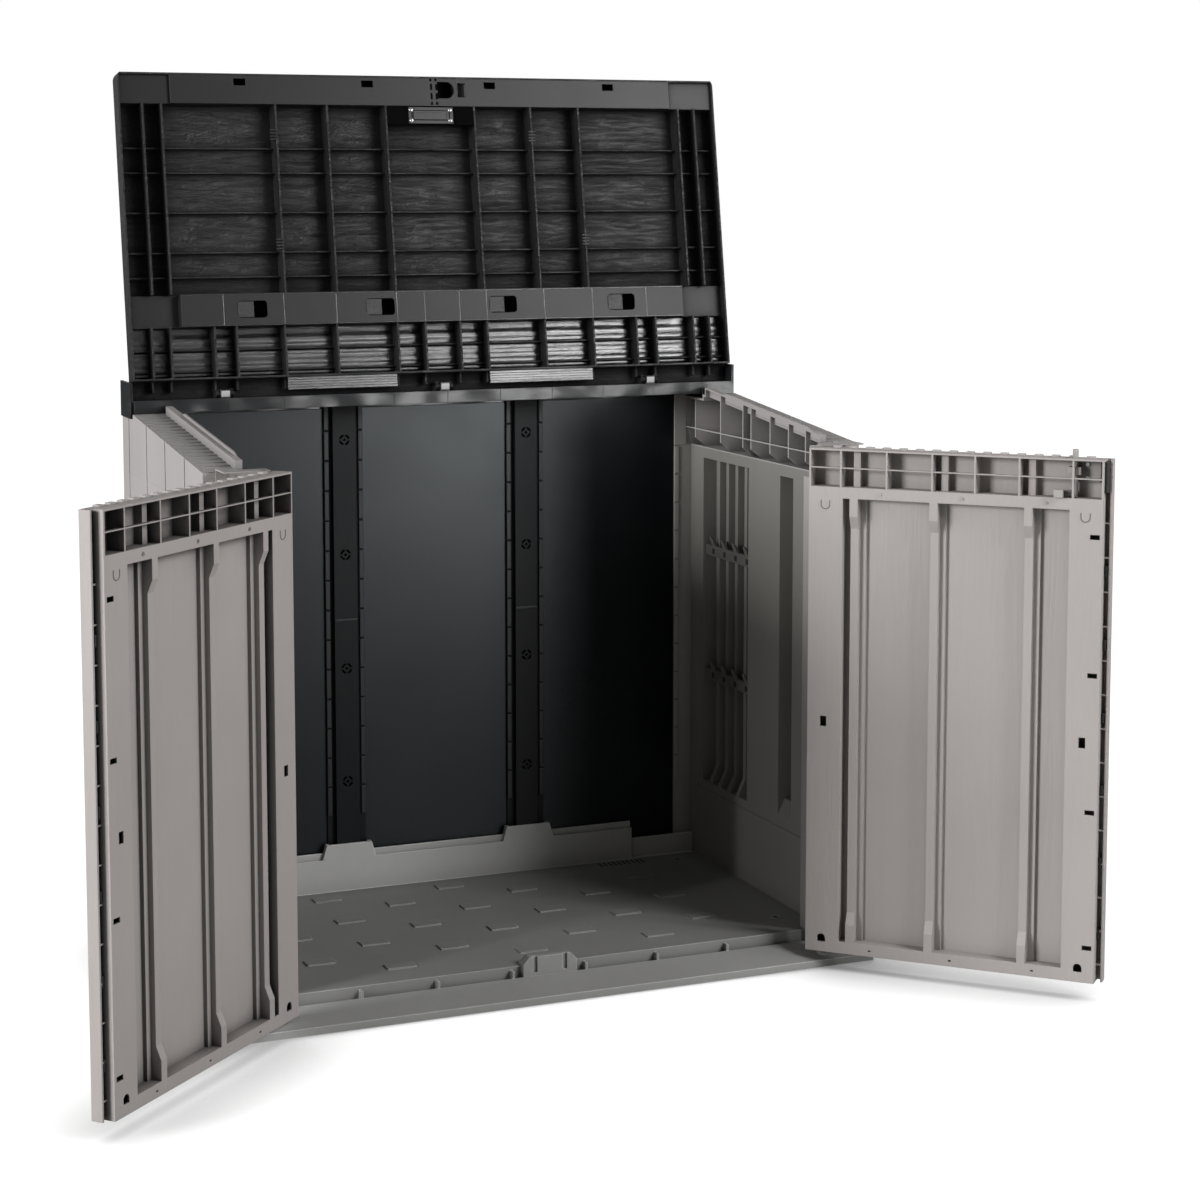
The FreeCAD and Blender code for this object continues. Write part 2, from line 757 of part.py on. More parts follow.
def back_post(x, z0, z1):
    flange = box(x - post_flange_width / 2, x + post_flange_width / 2, post_flange_y, strip_back_y, z0, z1)
    half = post_centre_width / 2
    centre = box(x - half, x + half, post_face_y, post_flange_y, z0, z1)
    hollow = box(x - half + post_sheet, x + half - post_sheet, post_face_y + post_sheet, post_flange_y, z0, z1)
    web = box(x - post_web_width / 2, x + post_web_width / 2, strip_back_y, wall_back_y, z0, z1)
    body = joined([flange, centre.cut(hollow), web])
    vents = []
    for i in range(rosette_count):
        z = post_top - rosette_top_drop - i * rosette_pitch
        if z0 < z - rosette_radius and z + rosette_radius < z1:
            vents += rosette(x, z)
    return body.cut(vents)


# Hinge rail with three tabs for the lid's hinge pins, and the caps that close its ends
def rail_section(x0, x1, face_y, foot):
    """Folded section: front lip, land under the hinge, trough for the lid's lip, and rear block."""
    land_y = rail_front_y + rail_land
    trough = rail_top - rail_trough
    return [box(x0, x1, face_y, face_y + rail_sheet, foot, rail_top),
            box(x0, x1, face_y, land_y, rail_top - rail_sheet, rail_top),
            box(x0, x1, land_y - rail_sheet, land_y, trough - rail_sheet, rail_top),
            box(x0, x1, land_y - rail_sheet, rail_block_y + rail_sheet, trough - rail_sheet, trough),
            box(x0, x1, rail_block_y, rail_block_y + rail_sheet, trough - rail_sheet, rail_block_top),
            box(x0, x1, rail_block_y, rear_y, rail_block_top - rail_sheet, rail_block_top),
            box(x0, x1, rear_y - rail_sheet, rear_y, rail_seat_height, rail_block_top)]


def hinge_rail():
    pieces = rail_section(-rail_half, rail_half, rail_front_y, rail_top - rail_front_height)
    pieces.append(box(-rail_half, rail_half, rear_y - rail_sheet, rear_y,
                      rail_seat_height - rail_rear_overlap, rail_seat_height))
    bores = []
    for x in tab_places:
        pieces.append(box(x - tab_width / 2, x + tab_width / 2,
                          hinge_y - tab_half_depth, hinge_y + tab_half_depth / 2,
                          rail_top - rail_sheet, hinge_height + tab_rise))
        bores.append(crosswise(hinge_pin_radius, x - tab_width / 2, x + tab_width / 2, hinge_y, hinge_height))
    return joined(pieces).cut(bores)


def rail_cap():
    pieces = rail_section(rail_half, cheek_x, cap_front_y, rail_seat_height)
    pieces.append(box(cheek_x, half_width, cap_front_y + cap_cheek_setback, rear_y, rail_seat_height,
                      hinge_height + cap_cheek_rise))
    return joined(pieces)


def lid_hinge_pins():
    reach = tab_width / 2 + ear_gap + ear_width
    pins = [crosswise(hinge_pin_radius, x - reach, x + reach, hinge_y, hinge_height) for x in tab_places]
    return Part.makeCompound(pins)


# Lid, built lying level with its hinge axis at the origin, then tipped open
def lid_box(x0, x1, near, far, low, high):
    return box(x0, x1, -far, -near, low, high)


def tipped(shape):
    turned = shape.copy()
    turned.rotate(vector(0, 0, 0), vector(1, 0, 0), -(90 + lid_lean))
    turned.translate(vector(0, hinge_y, hinge_height))
    return turned


def rib_places(from_middle, from_rim):
    places = list(from_middle) + [lid_rim_x - inset for inset in from_rim]
    return [-x for x in places] + places


def lid_corner_cuts():
    """What is taken off to round the lid's two front corners."""
    far = lid_length + lid_front_lip
    radius = lid_corner_radius
    cuts = []
    for side in (-1, 1):
        edges = sorted((side * (lid_half - radius), side * lid_half))
        square = lid_box(edges[0], edges[1], far - radius, far, lid_low, lid_top_level)
        cuts.append(square.cut(upright(radius, side * (lid_half - radius), radius - far, lid_low, lid_top_level)))
    return cuts


def lid_panel():
    """Skin with a rim, lengthwise ribs in two fields, shallow cross ribs and hinge ears."""
    high = lid_under_skin + lid_skin / 2
    half_rib = lid_rib / 2
    pieces = [lid_box(-lid_half, lid_half, -lid_rear_lip, lid_length + lid_front_lip,
                      lid_under_skin, lid_top_level)]
    for side in (-1, 1):
        edges = sorted((side * lid_rim_x, side * lid_half))
        pieces.append(lid_box(edges[0], edges[1], lid_rear_rib, lid_length, lid_low, high))
        edges = sorted((side * shroud_start, side * (shroud_start + shroud_length)))
        pieces.append(lid_box(edges[0], edges[1], shroud_near, lid_rear_rib, -shroud_drop, 0))
    pieces.append(lid_box(-lid_half, lid_half, band_end, lid_length, lid_low, high))
    pieces.append(lid_box(-lid_half, lid_half, lid_rear_rib, lid_rear_rib + lid_rib, lid_low, high))
    for x in rib_places(upper_ribs_from_middle, upper_ribs_from_rim):
        pieces.append(lid_box(x - half_rib, x + half_rib, crossbar_end, band_start, lid_low, high))
    for x in rib_places(lower_ribs_from_middle, lower_ribs_from_rim):
        pieces.append(lid_box(x - half_rib, x + half_rib, lid_rear_rib, crossbar_start, lid_low, high))
        pieces.append(lid_box(x - half_rib, x + half_rib, shroud_near, lid_rear_rib, 0, high))
    for place in cross_rib_places:
        pieces.append(lid_box(-lid_rim_x, lid_rim_x, place - lid_cross_rib / 2, place + lid_cross_rib / 2,
                              lid_shallow_level, high))
    bores = []
    for x in tab_places:
        for side in (-1, 1):
            inner = x + side * (tab_width / 2 + ear_gap)
            edges = sorted((inner, inner + side * ear_width))
            pieces.append(lid_box(edges[0], edges[1], -ear_radius, ear_reach, 0, high))
            pieces.append(crosswise(ear_radius, edges[0], edges[1], 0, 0))
            bores.append(crosswise(hinge_pin_radius + running_clearance, edges[0], edges[1], 0, 0))
    return joined(pieces).cut(bores + lid_corner_cuts())


def rounded_slot(x, place, length, width, corner, low, high):
    """Slot with rounded corners, its length across the lid."""
    across = length / 2 - corner
    along = width / 2 - corner
    pieces = [lid_box(x - length / 2, x + length / 2, place - along, place + along, low, high),
              lid_box(x - across, x + across, place - width / 2, place + width / 2, low, high)]
    for end in (x - across, x + across):
        for side in (place - along, place + along):
            pieces.append(upright(corner, end, -side, low, high))
    return joined(pieces)


def lid_front_bar():
    """Folded band inside the lid's front edge, with slots, a finger pocket and the bolt's hole."""
    high = lid_low + band_sheet
    end = lid_corner_x
    pieces = [lid_box(-end, end, band_start, band_end, lid_low, high),
              lid_box(-end, end, band_start, band_start + band_sheet, lid_low, lid_under_skin)]
    for side in (-1, 1):
        edges = sorted((side * (end - band_sheet), side * end))
        pieces.append(lid_box(edges[0], edges[1], band_start, band_end, lid_low, lid_under_skin))
    cuts = []
    for place in band_slot_places:
        for x in (-place, place):
            far = lid_length - band_slot_from_front
            cuts.append(lid_box(x - band_slot_length / 2, x + band_slot_length / 2, far - band_slot_width / 2,
                                far + band_slot_width / 2, lid_low, high))
    far = band_end - pocket_margin
    radius = pocket_length / 2
    round_end = pocket_place + pocket_width - radius
    cuts.append(lid_box(pocket_place, round_end, far - pocket_length, far, lid_low, high))
    cuts.append(upright(radius, round_end, radius - far, lid_low, high))
    half = bolt_radius + keeper_clearance
    cuts.append(lid_box(keeper_x - half, keeper_x + half, keeper_place - keeper_opening / 2,
                        keeper_place + keeper_opening / 2, lid_low, high))
    return joined(pieces).cut(cuts)


def lid_corner():
    """Corner piece that carries on the band at a lower rise, clear of the door's hinge bracket."""
    low = -lid_corner_level
    return joined([lid_box(lid_corner_x, lid_rim_x, band_start, band_end, low, low + band_sheet),
                   lid_box(lid_corner_x, lid_rim_x, band_start, band_start + band_sheet, low, lid_under_skin)])


def lid_crossbar():
    """Stiffening channel across the lid, shallower at its ends where the walls' kerbs come up."""
    low = lid_low - crossbar_drop
    sheet = crossbar_sheet
    pieces = [lid_box(-lid_zone_x, lid_zone_x, crossbar_start, crossbar_end, low, low + sheet)]
    flanges = ((crossbar_start, crossbar_start + sheet), (crossbar_end - sheet, crossbar_end))
    for near, far in flanges:
        pieces.append(lid_box(-lid_zone_x, lid_zone_x, near, far, low, lid_under_skin))
        pieces.append(lid_box(-lid_rim_x, lid_rim_x, near, far, lid_shallow_level, lid_under_skin))
    for side in (-1, 1):
        edges = sorted((side * (lid_zone_x - sheet), side * lid_zone_x))
        pieces.append(lid_box(edges[0], edges[1], crossbar_start, crossbar_end, low, lid_shallow_level + sheet))
        edges = sorted((side * (lid_zone_x - sheet), side * lid_rim_x))
        pieces.append(lid_box(edges[0], edges[1], crossbar_start, crossbar_end, lid_shallow_level,
                              lid_shallow_level + sheet))
    cuts = []
    middle = (crossbar_start + crossbar_end) / 2
    for place in band_slot_places:
        for x in (-place, place):
            cuts.append(rounded_slot(x, middle, crossbar_slot_length, crossbar_slot_width,
                                     crossbar_slot_corner, low, low + sheet))
    return joined(pieces).cut(cuts)


def plate_bracket():
    half = upper_ribs_from_middle[0] - lid_rib / 2 - plate_bracket_gap
    return lid_box(-half, half, band_start - plate_bracket_width, band_start,
                   lid_low, lid_low + plate_bracket_depth)


plate_place = band_start - plate_bracket_width / 2


def metal_plate():
    half = metal_plate_length / 2
    return lid_box(-half, half, plate_place - metal_plate_width / 2, plate_place + metal_plate_width / 2,
                   lid_low - metal_plate_thickness, lid_low)


def plate_rivets():
    rivets = []
    top = lid_low - metal_plate_thickness
    for side in (-1, 1):
        for end in (-1, 1):
            x = side * (metal_plate_length / 2 - rivet_margin)
            place = plate_place + end * (metal_plate_width / 2 - rivet_margin)
            rivets.append(upright(rivet_radius, x, -place, top - rivet_rise, top))
    return Part.makeCompound(rivets)


def bolt_keeper():
    """Channel behind the band that the bolt's end rises into."""
    inner = bolt_radius + keeper_clearance
    outer = inner + keeper_thickness
    near = keeper_place - keeper_length / 2
    far = keeper_place + keeper_length / 2
    crown = keeper_crown_level
    foot = lid_low + band_sheet
    return joined([lid_box(keeper_x - outer, keeper_x + outer, near, far, crown, crown + keeper_thickness),
                   lid_box(keeper_x - outer, keeper_x - inner, near, far, foot, crown),
                   lid_box(keeper_x + inner, keeper_x + outer, near, far, foot, crown)])


# Right door, built shut with its pivot at the origin; the left one is its mirror image
def door_box(near, far, outer, inner, z0, z1):
    return box(-far, -near, outer, inner, z0, z1)


def swung_right(shape):
    turned = shape.copy()
    turned.rotate(vector(0, 0, 0), vector(0, 0, 1), right_door_angle)
    turned.translate(vector(pivot_x, pivot_y, 0))
    return turned


def swung_left(shape):
    turned = mirrored(shape)
    turned.rotate(vector(0, 0, 0), vector(0, 0, 1), -left_door_angle)
    turned.translate(vector(-pivot_x, pivot_y, 0))
    return turned


def door_skin_panel(with_bolt):
    """Planked skin with a rim, a pivot column and an open ribbed band along its top."""
    near = -door_hinge_overlap
    rim = door_rim
    lining = door_inner - door_liner
    pieces = [door_box(near, door_free, door_skin_offset, door_back, door_bottom, door_top)]
    lip = door_skin_offset + door_lip_depth
    pieces.append(door_box(door_free - rim, door_free, door_skin_offset, lip, door_bottom, door_top))
    last_rib = door_top - lock_drop - lock_height
    for z in steps(door_bottom + lip_rib_pitch / 2, last_rib - lip_rib_pitch / 2, lip_rib_pitch):
        pieces.append(door_box(liner_free - rim, door_free, lip - lip_rib_depth, lip, z, z + lip_rib_thickness))
    for start in (near, liner_free - rim):
        pieces.append(door_box(start, start + rim, door_skin_offset, lining, door_bottom, band_bottom))
        pieces.append(door_box(start, start + rim, door_skin_offset, door_inner, band_bottom, door_top))
    pieces.append(door_box(near, liner_free, door_skin_offset, lining, door_bottom, door_bottom + rim))
    pieces.append(door_box(near, liner_free, door_skin_offset, lining, band_bottom - door_shelf, band_bottom))
    pieces.append(door_box(near, liner_free, door_skin_offset, door_inner, door_top - rim, door_top))
    ribs = list(band_ribs_from_hinge) + [liner_free - band_rib_from_free]
    for place in ribs:
        pieces.append(door_box(place - rim / 2, place + rim / 2, door_skin_offset, door_inner,
                               band_bottom, door_top))
    strip = door_inner - bolt_rib_strip if with_bolt else door_back
    pieces.append(door_box(bolt_place - rim / 2, bolt_place + rim / 2, strip, door_inner,
                           band_bottom, door_top))
    for place in list(band_bars_from_hinge) + [liner_free - band_bar_from_free]:
        pieces.append(door_box(place, place + band_bar_width, door_back, door_back + band_bar_depth,
                               band_bottom, door_top))
    rail_z = (band_bottom + door_top - band_rail_height) / 2
    pieces.append(door_box(near, liner_free, door_inner - band_rail_depth, door_inner, rail_z,
                           rail_z + band_rail_height))
    pieces.append(upright(pivot_column_radius, 0, 0, door_bottom, door_top))
    pieces.append(door_box(-pivot_column_radius, pivot_column_radius, 0, door_back, door_bottom, door_top))
    bore = pivot_pin_radius + running_clearance
    cuts = [upright(bore, 0, 0, door_bottom, door_bottom + pivot_pin_engagement),
            upright(bore, 0, 0, door_top - pivot_pin_engagement, door_top)]
    for place in steps(door_free - door_plank_pitch, pivot_column_radius + groove_width, door_plank_pitch):
        cuts.append(door_box(place - groove_width / 2, place + groove_width / 2, door_skin_offset,
                             door_skin_offset + groove_depth, door_bottom, door_top))
    if with_bolt:
        cuts.append(upright(bolt_radius + bolt_clearance, -bolt_place, bolt_offset, door_top - rim, door_top))
    return joined(pieces).cut(cuts)


def ridge(start, z0, z1):
    """Upright ridge on the recess floor, as high as the frame at both ends, with a step beside it."""
    floor = door_inner - recess_depth
    low = floor + ridge_rise
    end = ridge_end_length
    run = end + ridge_end_slope
    points = [(floor, z0), (door_inner, z0), (door_inner, z0 + end), (low, z0 + run),
              (low, z1 - run), (door_inner, z1 - end), (door_inner, z1), (floor, z1)]
    far = start + ridge_width
    return joined([prism_x(points, -far, -start),
                   door_box(far, far + ridge_step_width, floor, floor + ridge_step_rise, z0, z1)])


def door_liner_panel():
    """Inner sheet with a large ridged recess, and small openings in its stiles."""
    near = -door_hinge_overlap
    face = door_inner - door_liner
    z0 = door_bottom + recess_bottom_margin
    z1 = band_bottom - recess_top_margin
    floor = door_inner - recess_depth
    sheet = recess_sheet
    solid = [door_box(near, liner_free, face, door_inner, door_bottom, band_bottom),
             door_box(recess_near - sheet, recess_far + sheet, floor - sheet, door_inner,
                      z0 - sheet, z1 + sheet)]
    body = joined(solid).cut(door_box(recess_near, recess_far, floor, door_inner, z0, z1))
    starts = [recess_near + place for place in ridges_from_hinge] + [recess_far - ridge_from_free]
    body = joined([body] + [ridge(start, z0, z1) for start in starts])
    cuts = []
    slot = liner_free - stile_slot_inset
    for i in range(stile_slot_count):
        z = door_bottom + stile_slot_first + i * stile_slot_pitch
        cuts.append(door_box(slot - stile_slot_length / 2, slot + stile_slot_length / 2, face, door_inner,
                             z - stile_slot_height / 2, z + stile_slot_height / 2))
    half = stile_square_width / 2
    tall = stile_square_length / 2
    for place in (near + hinge_stile_centre, liner_free - free_stile_centre):
        z = door_bottom + stile_square_height
        cuts.append(door_box(place - half, place + half, face, door_inner, z - tall, z + tall))
        z = door_bottom + arch_height
        cuts.append(door_box(place - arch_radius, place + arch_radius, face, door_inner,
                             z - arch_radius / 2, z + arch_straight))
        start = vector(-place, face, z + arch_straight)
        cuts.append(Part.makeCylinder(arch_radius, door_liner, start, vector(0, 1, 0)))
    return body.cut(cuts)


def liner_screws():
    near = -door_hinge_overlap
    places = [near + place for place in liner_screws_from_hinge] + [liner_free - liner_screw_from_free]
    screws = []
    for place in places:
        start = vector(-place, door_inner, band_bottom - liner_screw_drop)
        screws.append(Part.makeCylinder(liner_screw_radius, liner_screw_rise, start, vector(0, 1, 0)))
    return Part.makeCompound(screws)


def slide_bolt():
    """Round bolt that stands above the door's top, with an arm and a finger knob."""
    foot = band_bottom + bolt_foot_gap
    arm_top = foot + bolt_arm_height
    half = bolt_arm_width / 2
    knob = bolt_place - knob_from_bolt
    return joined([upright(bolt_radius, -bolt_place, bolt_offset, foot, door_top + bolt_stand),
                   door_box(knob - half, bolt_place, bolt_offset - half, bolt_offset + half, foot, arm_top),
                   door_box(knob - half, knob + half, bolt_offset - half, door_inner + knob_gap, foot, arm_top),
                   door_box(knob - knob_width / 2, knob + knob_width / 2, door_inner + knob_gap,
                            door_inner + knob_gap + knob_reach, foot, foot + knob_height)])


def bolt_guide():
    """Guide block for the bolt, on a flange against the skin."""
    top = door_top - door_rim - guide_drop
    block = door_box(bolt_place - guide_width / 2, bolt_place + guide_width / 2, door_back,
                     bolt_offset + bolt_radius + guide_wall, top - guide_height, top)
    flange_top = door_top - door_rim - bolt_clearance
    flange = door_box(bolt_place, bolt_place + guide_flange_length, door_back, door_back + guide_flange,
                      flange_top - guide_flange_height, flange_top)
    hole = upright(bolt_radius + bolt_clearance, -bolt_place, bolt_offset, top - guide_height, top)
    return joined([block, flange]).cut(hole)


def guide_screws():
    screws = []
    middle = door_top - door_rim - bolt_clearance - guide_flange_height / 2
    for end in (-1, 1):
        z = middle + end * guide_screw_spacing / 2
        start = vector(-(bolt_place + guide_screw_from_bolt), door_back + guide_flange, z)
        screws.append(Part.makeCylinder(guide_screw_radius, guide_screw_rise, start, vector(0, 1, 0)))
    return Part.makeCompound(screws)


def edge_lock():
    """Lock case on the right door's free edge."""
    middle = (door_back + door_inner) / 2
    top = door_top - lock_drop
    return door_box(liner_free, liner_free + lock_length, middle - lock_depth / 2, middle + lock_depth / 2,
                    top - lock_height, top)


# Pins and brackets that carry the doors
def door_pins():
    reach = pivot_pin_engagement - pivot_pin_end_gap
    lower = upright(pivot_pin_radius, pivot_x, pivot_y, pivot_bore_floor, door_bottom + reach)
    upper = upright(pivot_pin_radius, pivot_x, pivot_y, door_top - reach, bracket_top)
    return Part.makeCompound([lower, upper])


def hinge_bracket():
    """Bent plate from the jamb's face out over the door's pivot."""
    outer_x = pivot_x + bracket_reach
    tab_x = outer_x - bracket_tab_width
    arm = box(pivot_x - bracket_margin, outer_x, pivot_y - bracket_margin, pivot_y + bracket_arm_back,
              bracket_bottom, bracket_top)
    leg = box(tab_x, outer_x, pivot_y, wall_front_y, bracket_bottom, bracket_top)
    tab = box(tab_x, outer_x, wall_front_y - bracket_thickness, wall_front_y,
              bracket_top - bracket_tab_height, bracket_top)
    hole = upright(pivot_pin_radius + running_clearance, pivot_x, pivot_y, bracket_bottom, bracket_top)
    return joined([arm, leg, tab]).cut(hole)


def bracket_screws():
    x = pivot_x + bracket_reach - bracket_tab_width / 2
    screws = []
    for side in (-1, 1):
        for end in (-1, 1):
            z = bracket_top - bracket_tab_height / 2 + end * bracket_screw_spacing / 2
            start = vector(side * x, wall_front_y - bracket_thickness, z)
            screws.append(Part.makeCylinder(bracket_screw_radius, bracket_screw_rise, start, vector(0, -1, 0)))
    return Part.makeCompound(screws)


os.makedirs("parts", exist_ok=True)
save("base_tray", base_tray())
save("sill_striker", sill_striker())
save_pair("side_panel", side_panel())
save_pair("front_jamb", front_jamb())
save_pair("rear_strip", rear_strip())
save_pair("side_liner", side_liner())
for level_name, level in rack_levels:
    save_pair(level_name + "_tool_rack", tool_rack(level))
save_pair("wall_top", wall_top())
sheet_inner = post_offset + post_web_width / 2 + sheet_edge_gap
save_pair("back_sheet", back_sheet(sheet_inner, panel_inner_x - sheet_edge_gap))
middle_half = post_offset - post_web_width / 2 - sheet_edge_gap
save("centre_back_sheet", back_sheet(-middle_half, middle_half))
save_pair("post_lower", back_post(post_offset, slot_floor_height, post_joint_height - post_joint_gap / 2))
save_pair("post_upper", back_post(post_offset, post_joint_height + post_joint_gap / 2, post_top))
save("hinge_rail", hinge_rail())
save_pair("rail_cap", rail_cap())
save("lid_hinge_pins", lid_hinge_pins())
save("lid_panel", tipped(lid_panel()))
save("lid_front_bar", tipped(lid_front_bar()))
save("right_lid_corner", tipped(lid_corner()))
save("left_lid_corner", tipped(mirrored(lid_corner())))
save("lid_crossbar", tipped(lid_crossbar()))
save("lid_plate_bracket", tipped(plate_bracket()))
save("lid_metal_plate", tipped(metal_plate()))
save("lid_plate_rivets", tipped(plate_rivets()))
save("bolt_keeper", tipped(bolt_keeper()))
save("right_door_skin", swung_right(door_skin_panel(True)))
save("left_door_skin", swung_left(door_skin_panel(False)))
save("right_door_liner", swung_right(door_liner_panel()))
save("left_door_liner", swung_left(door_liner_panel()))
save("right_liner_screws", swung_right(liner_screws()))
save("left_liner_screws", swung_left(liner_screws()))
save("slide_bolt", swung_right(slide_bolt()))
save("bolt_guide", swung_right(bolt_guide()))
save("bolt_guide_screws", swung_right(guide_screws()))
save("edge_lock", swung_right(edge_lock()))
save_pair("door_pins", door_pins())
save_pair("hinge_bracket", hinge_bracket())
save("hinge_bracket_screws", bracket_screws())
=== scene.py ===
import math
import bpy
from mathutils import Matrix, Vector


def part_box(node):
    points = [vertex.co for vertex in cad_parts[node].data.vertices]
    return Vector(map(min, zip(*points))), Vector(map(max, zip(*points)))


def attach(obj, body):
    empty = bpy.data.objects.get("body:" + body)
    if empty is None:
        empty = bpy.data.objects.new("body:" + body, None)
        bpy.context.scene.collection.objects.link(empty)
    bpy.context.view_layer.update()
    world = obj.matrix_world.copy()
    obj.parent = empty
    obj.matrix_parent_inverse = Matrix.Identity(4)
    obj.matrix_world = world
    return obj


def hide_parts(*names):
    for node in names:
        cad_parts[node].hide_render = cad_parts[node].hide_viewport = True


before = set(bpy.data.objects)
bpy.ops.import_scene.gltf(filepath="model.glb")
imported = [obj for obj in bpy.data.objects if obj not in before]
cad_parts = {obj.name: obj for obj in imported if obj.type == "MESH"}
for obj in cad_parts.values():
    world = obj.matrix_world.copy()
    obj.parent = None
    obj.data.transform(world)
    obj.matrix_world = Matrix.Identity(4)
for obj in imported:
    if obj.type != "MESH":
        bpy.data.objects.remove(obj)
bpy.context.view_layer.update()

# Studio: a pale floor that glows white to the camera and runs into a white surround, its glow darkened by
# painted shadow (from ambient occlusion) under and around the pieces; a broad soft light from the left, a
# second one from the front right, a low white panel in front that only shows as a reflection in the glossy
# plastic, and the camera where the picture was taken from.
floor_half_size = 30.0
bpy.ops.object.select_all(action="DESELECT")
bpy.ops.mesh.primitive_plane_add(size=2 * floor_half_size, location=(0, 0, -0.0005))
floor = bpy.context.object
floor.name = "studio_floor"
bpy.ops.object.transform_apply(location=True, rotation=True, scale=True)
floor_material = bpy.data.materials.new("studio_floor")
floor_material.use_nodes = True
floor_nodes = floor_material.node_tree.nodes
floor_links = floor_material.node_tree.links
floor_shader = floor_nodes["Principled BSDF"]
floor_shader.inputs["Base Color"].default_value = (0.45, 0.45, 0.45, 1)
floor_shader.inputs["Roughness"].default_value = 0.9
floor_shader.inputs["Specular IOR Level"].default_value = 0.05
floor_glow = floor_nodes.new("ShaderNodeEmission")
floor_glow.inputs["Color"].default_value = (1, 1, 1, 1)
floor_path = floor_nodes.new("ShaderNodeLightPath")
floor_place = floor_nodes.new("ShaderNodeTexCoord")
floor_reach = floor_nodes.new("ShaderNodeVectorMath")
floor_reach.operation = "LENGTH"
floor_links.new(floor_place.outputs["Object"], floor_reach.inputs[0])
floor_fade = floor_nodes.new("ShaderNodeMapRange")
floor_fade.interpolation_type = "SMOOTHSTEP"
floor_fade.inputs["From Min"].default_value = 1.0
floor_fade.inputs["From Max"].default_value = 3.6
floor_fade.inputs["To Min"].default_value = 0.97
floor_fade.inputs["To Max"].default_value = 1.05
floor_links.new(floor_reach.outputs["Value"], floor_fade.inputs["Value"])
floor_lift = floor_nodes.new("ShaderNodeMath")
floor_lift.operation = "MULTIPLY"
floor_links.new(floor_path.outputs["Is Camera Ray"], floor_lift.inputs[0])
floor_links.new(floor_fade.outputs[0], floor_lift.inputs[1])
# Painted shadow: the floor's glow is darkened by ambient occlusion near the pieces.
floor_shade = floor_nodes.new("ShaderNodeAmbientOcclusion")
floor_shade.samples = 12
floor_shade.inputs["Distance"].default_value = 0.3
floor_painted_shadow = floor_nodes.new("ShaderNodeMapRange")
floor_painted_shadow.inputs["From Min"].default_value = 0.45
floor_painted_shadow.inputs["From Max"].default_value = 0.95
floor_painted_shadow.inputs["To Min"].default_value = 0.15
floor_links.new(floor_shade.outputs["AO"], floor_painted_shadow.inputs["Value"])
floor_shadowed_glow = floor_nodes.new("ShaderNodeMath")
floor_shadowed_glow.operation = "MULTIPLY"
floor_links.new(floor_lift.outputs[0], floor_shadowed_glow.inputs[0])
floor_links.new(floor_painted_shadow.outputs[0], floor_shadowed_glow.inputs[1])
floor_links.new(floor_shadowed_glow.outputs[0], floor_glow.inputs["Strength"])
floor_sum = floor_nodes.new("ShaderNodeAddShader")
floor_links.new(floor_shader.outputs[0], floor_sum.inputs[0])
floor_links.new(floor_glow.outputs[0], floor_sum.inputs[1])
floor_links.new(floor_sum.outputs[0], floor_nodes["Material Output"].inputs["Surface"])
floor.data.materials.append(floor_material)

surround = bpy.data.worlds.new("studio_surround")
surround.use_nodes = True
surround_nodes = surround.node_tree.nodes
surround_links = surround.node_tree.links
surround_light = surround_nodes["Background"]
surround_light.inputs["Color"].default_value = (1, 1, 1, 1)
surround_light.inputs["Strength"].default_value = 0.04
surround_seen = surround_nodes.new("ShaderNodeBackground")
surround_seen.inputs["Color"].default_value = (1, 1, 1, 1)
surround_seen.inputs["Strength"].default_value = 1.0
surround_path = surround_nodes.new("ShaderNodeLightPath")
surround_mix = surround_nodes.new("ShaderNodeMixShader")
surround_mirrored = surround_nodes.new("ShaderNodeMath")
surround_mirrored.operation = "MULTIPLY"
surround_mirrored.inputs[1].default_value = 0.35
surround_links.new(surround_path.outputs["Is Glossy Ray"], surround_mirrored.inputs[0])
surround_seen_by = surround_nodes.new("ShaderNodeMath")
surround_seen_by.operation = "MAXIMUM"
surround_links.new(surround_path.outputs["Is Camera Ray"], surround_seen_by.inputs[0])
surround_links.new(surround_mirrored.outputs[0], surround_seen_by.inputs[1])
surround_links.new(surround_seen_by.outputs[0], surround_mix.inputs["Fac"])
surround_links.new(surround_light.outputs[0], surround_mix.inputs[1])
surround_links.new(surround_seen.outputs[0], surround_mix.inputs[2])
surround_links.new(surround_mix.outputs[0], surround_nodes["World Output"].inputs["Surface"])
bpy.context.scene.world = surround


def soft_light(name, place, target, width, height, power):
    """Large flat lamp that looks at a point."""
    aim = Vector(target) - Vector(place)
    turn = aim.to_track_quat("-Z", "Y").to_euler()
    bpy.ops.object.light_add(type="AREA", location=place, rotation=turn)
    lamp = bpy.context.object
    lamp.name = name
    lamp.data.shape = "RECTANGLE"
    lamp.data.size = width
    lamp.data.size_y = height
    lamp.data.energy = power
    return lamp


soft_light("left_light", place=(-10.6, -2.4, 3.3), target=(0, -0.4, 0.6), width=3.2, height=3.2, power=1160)
soft_light("right_light", place=(2.7, -3.5, 3.0), target=(-0.4, -0.4, 0.6), width=2.0, height=2.0,
           power=152)
front_light = soft_light("front_light", place=(2.3, -5.0, 0.9), target=(0, 0, 0.9), width=1.6, height=1.1,
                         power=72)
front_light.visible_diffuse = False

eye = (-1.9138, -5.1489, 1.6979)
eye_heading = 22.795
eye_tilt = 6.0
eye_turn = (math.radians(90 - eye_tilt), 0, math.radians(-eye_heading))
bpy.ops.object.camera_add(location=eye, rotation=eye_turn)
camera = bpy.context.object
camera.name = "photo_camera"
camera.data.sensor_fit = "HORIZONTAL"
camera.data.sensor_width = 36.0
camera.data.lens = 76.09
camera.data.shift_y = -0.1289
camera.data.clip_end = 100.0
bpy.context.scene.camera = camera
bpy.context.scene.view_settings.view_transform = "Standard"
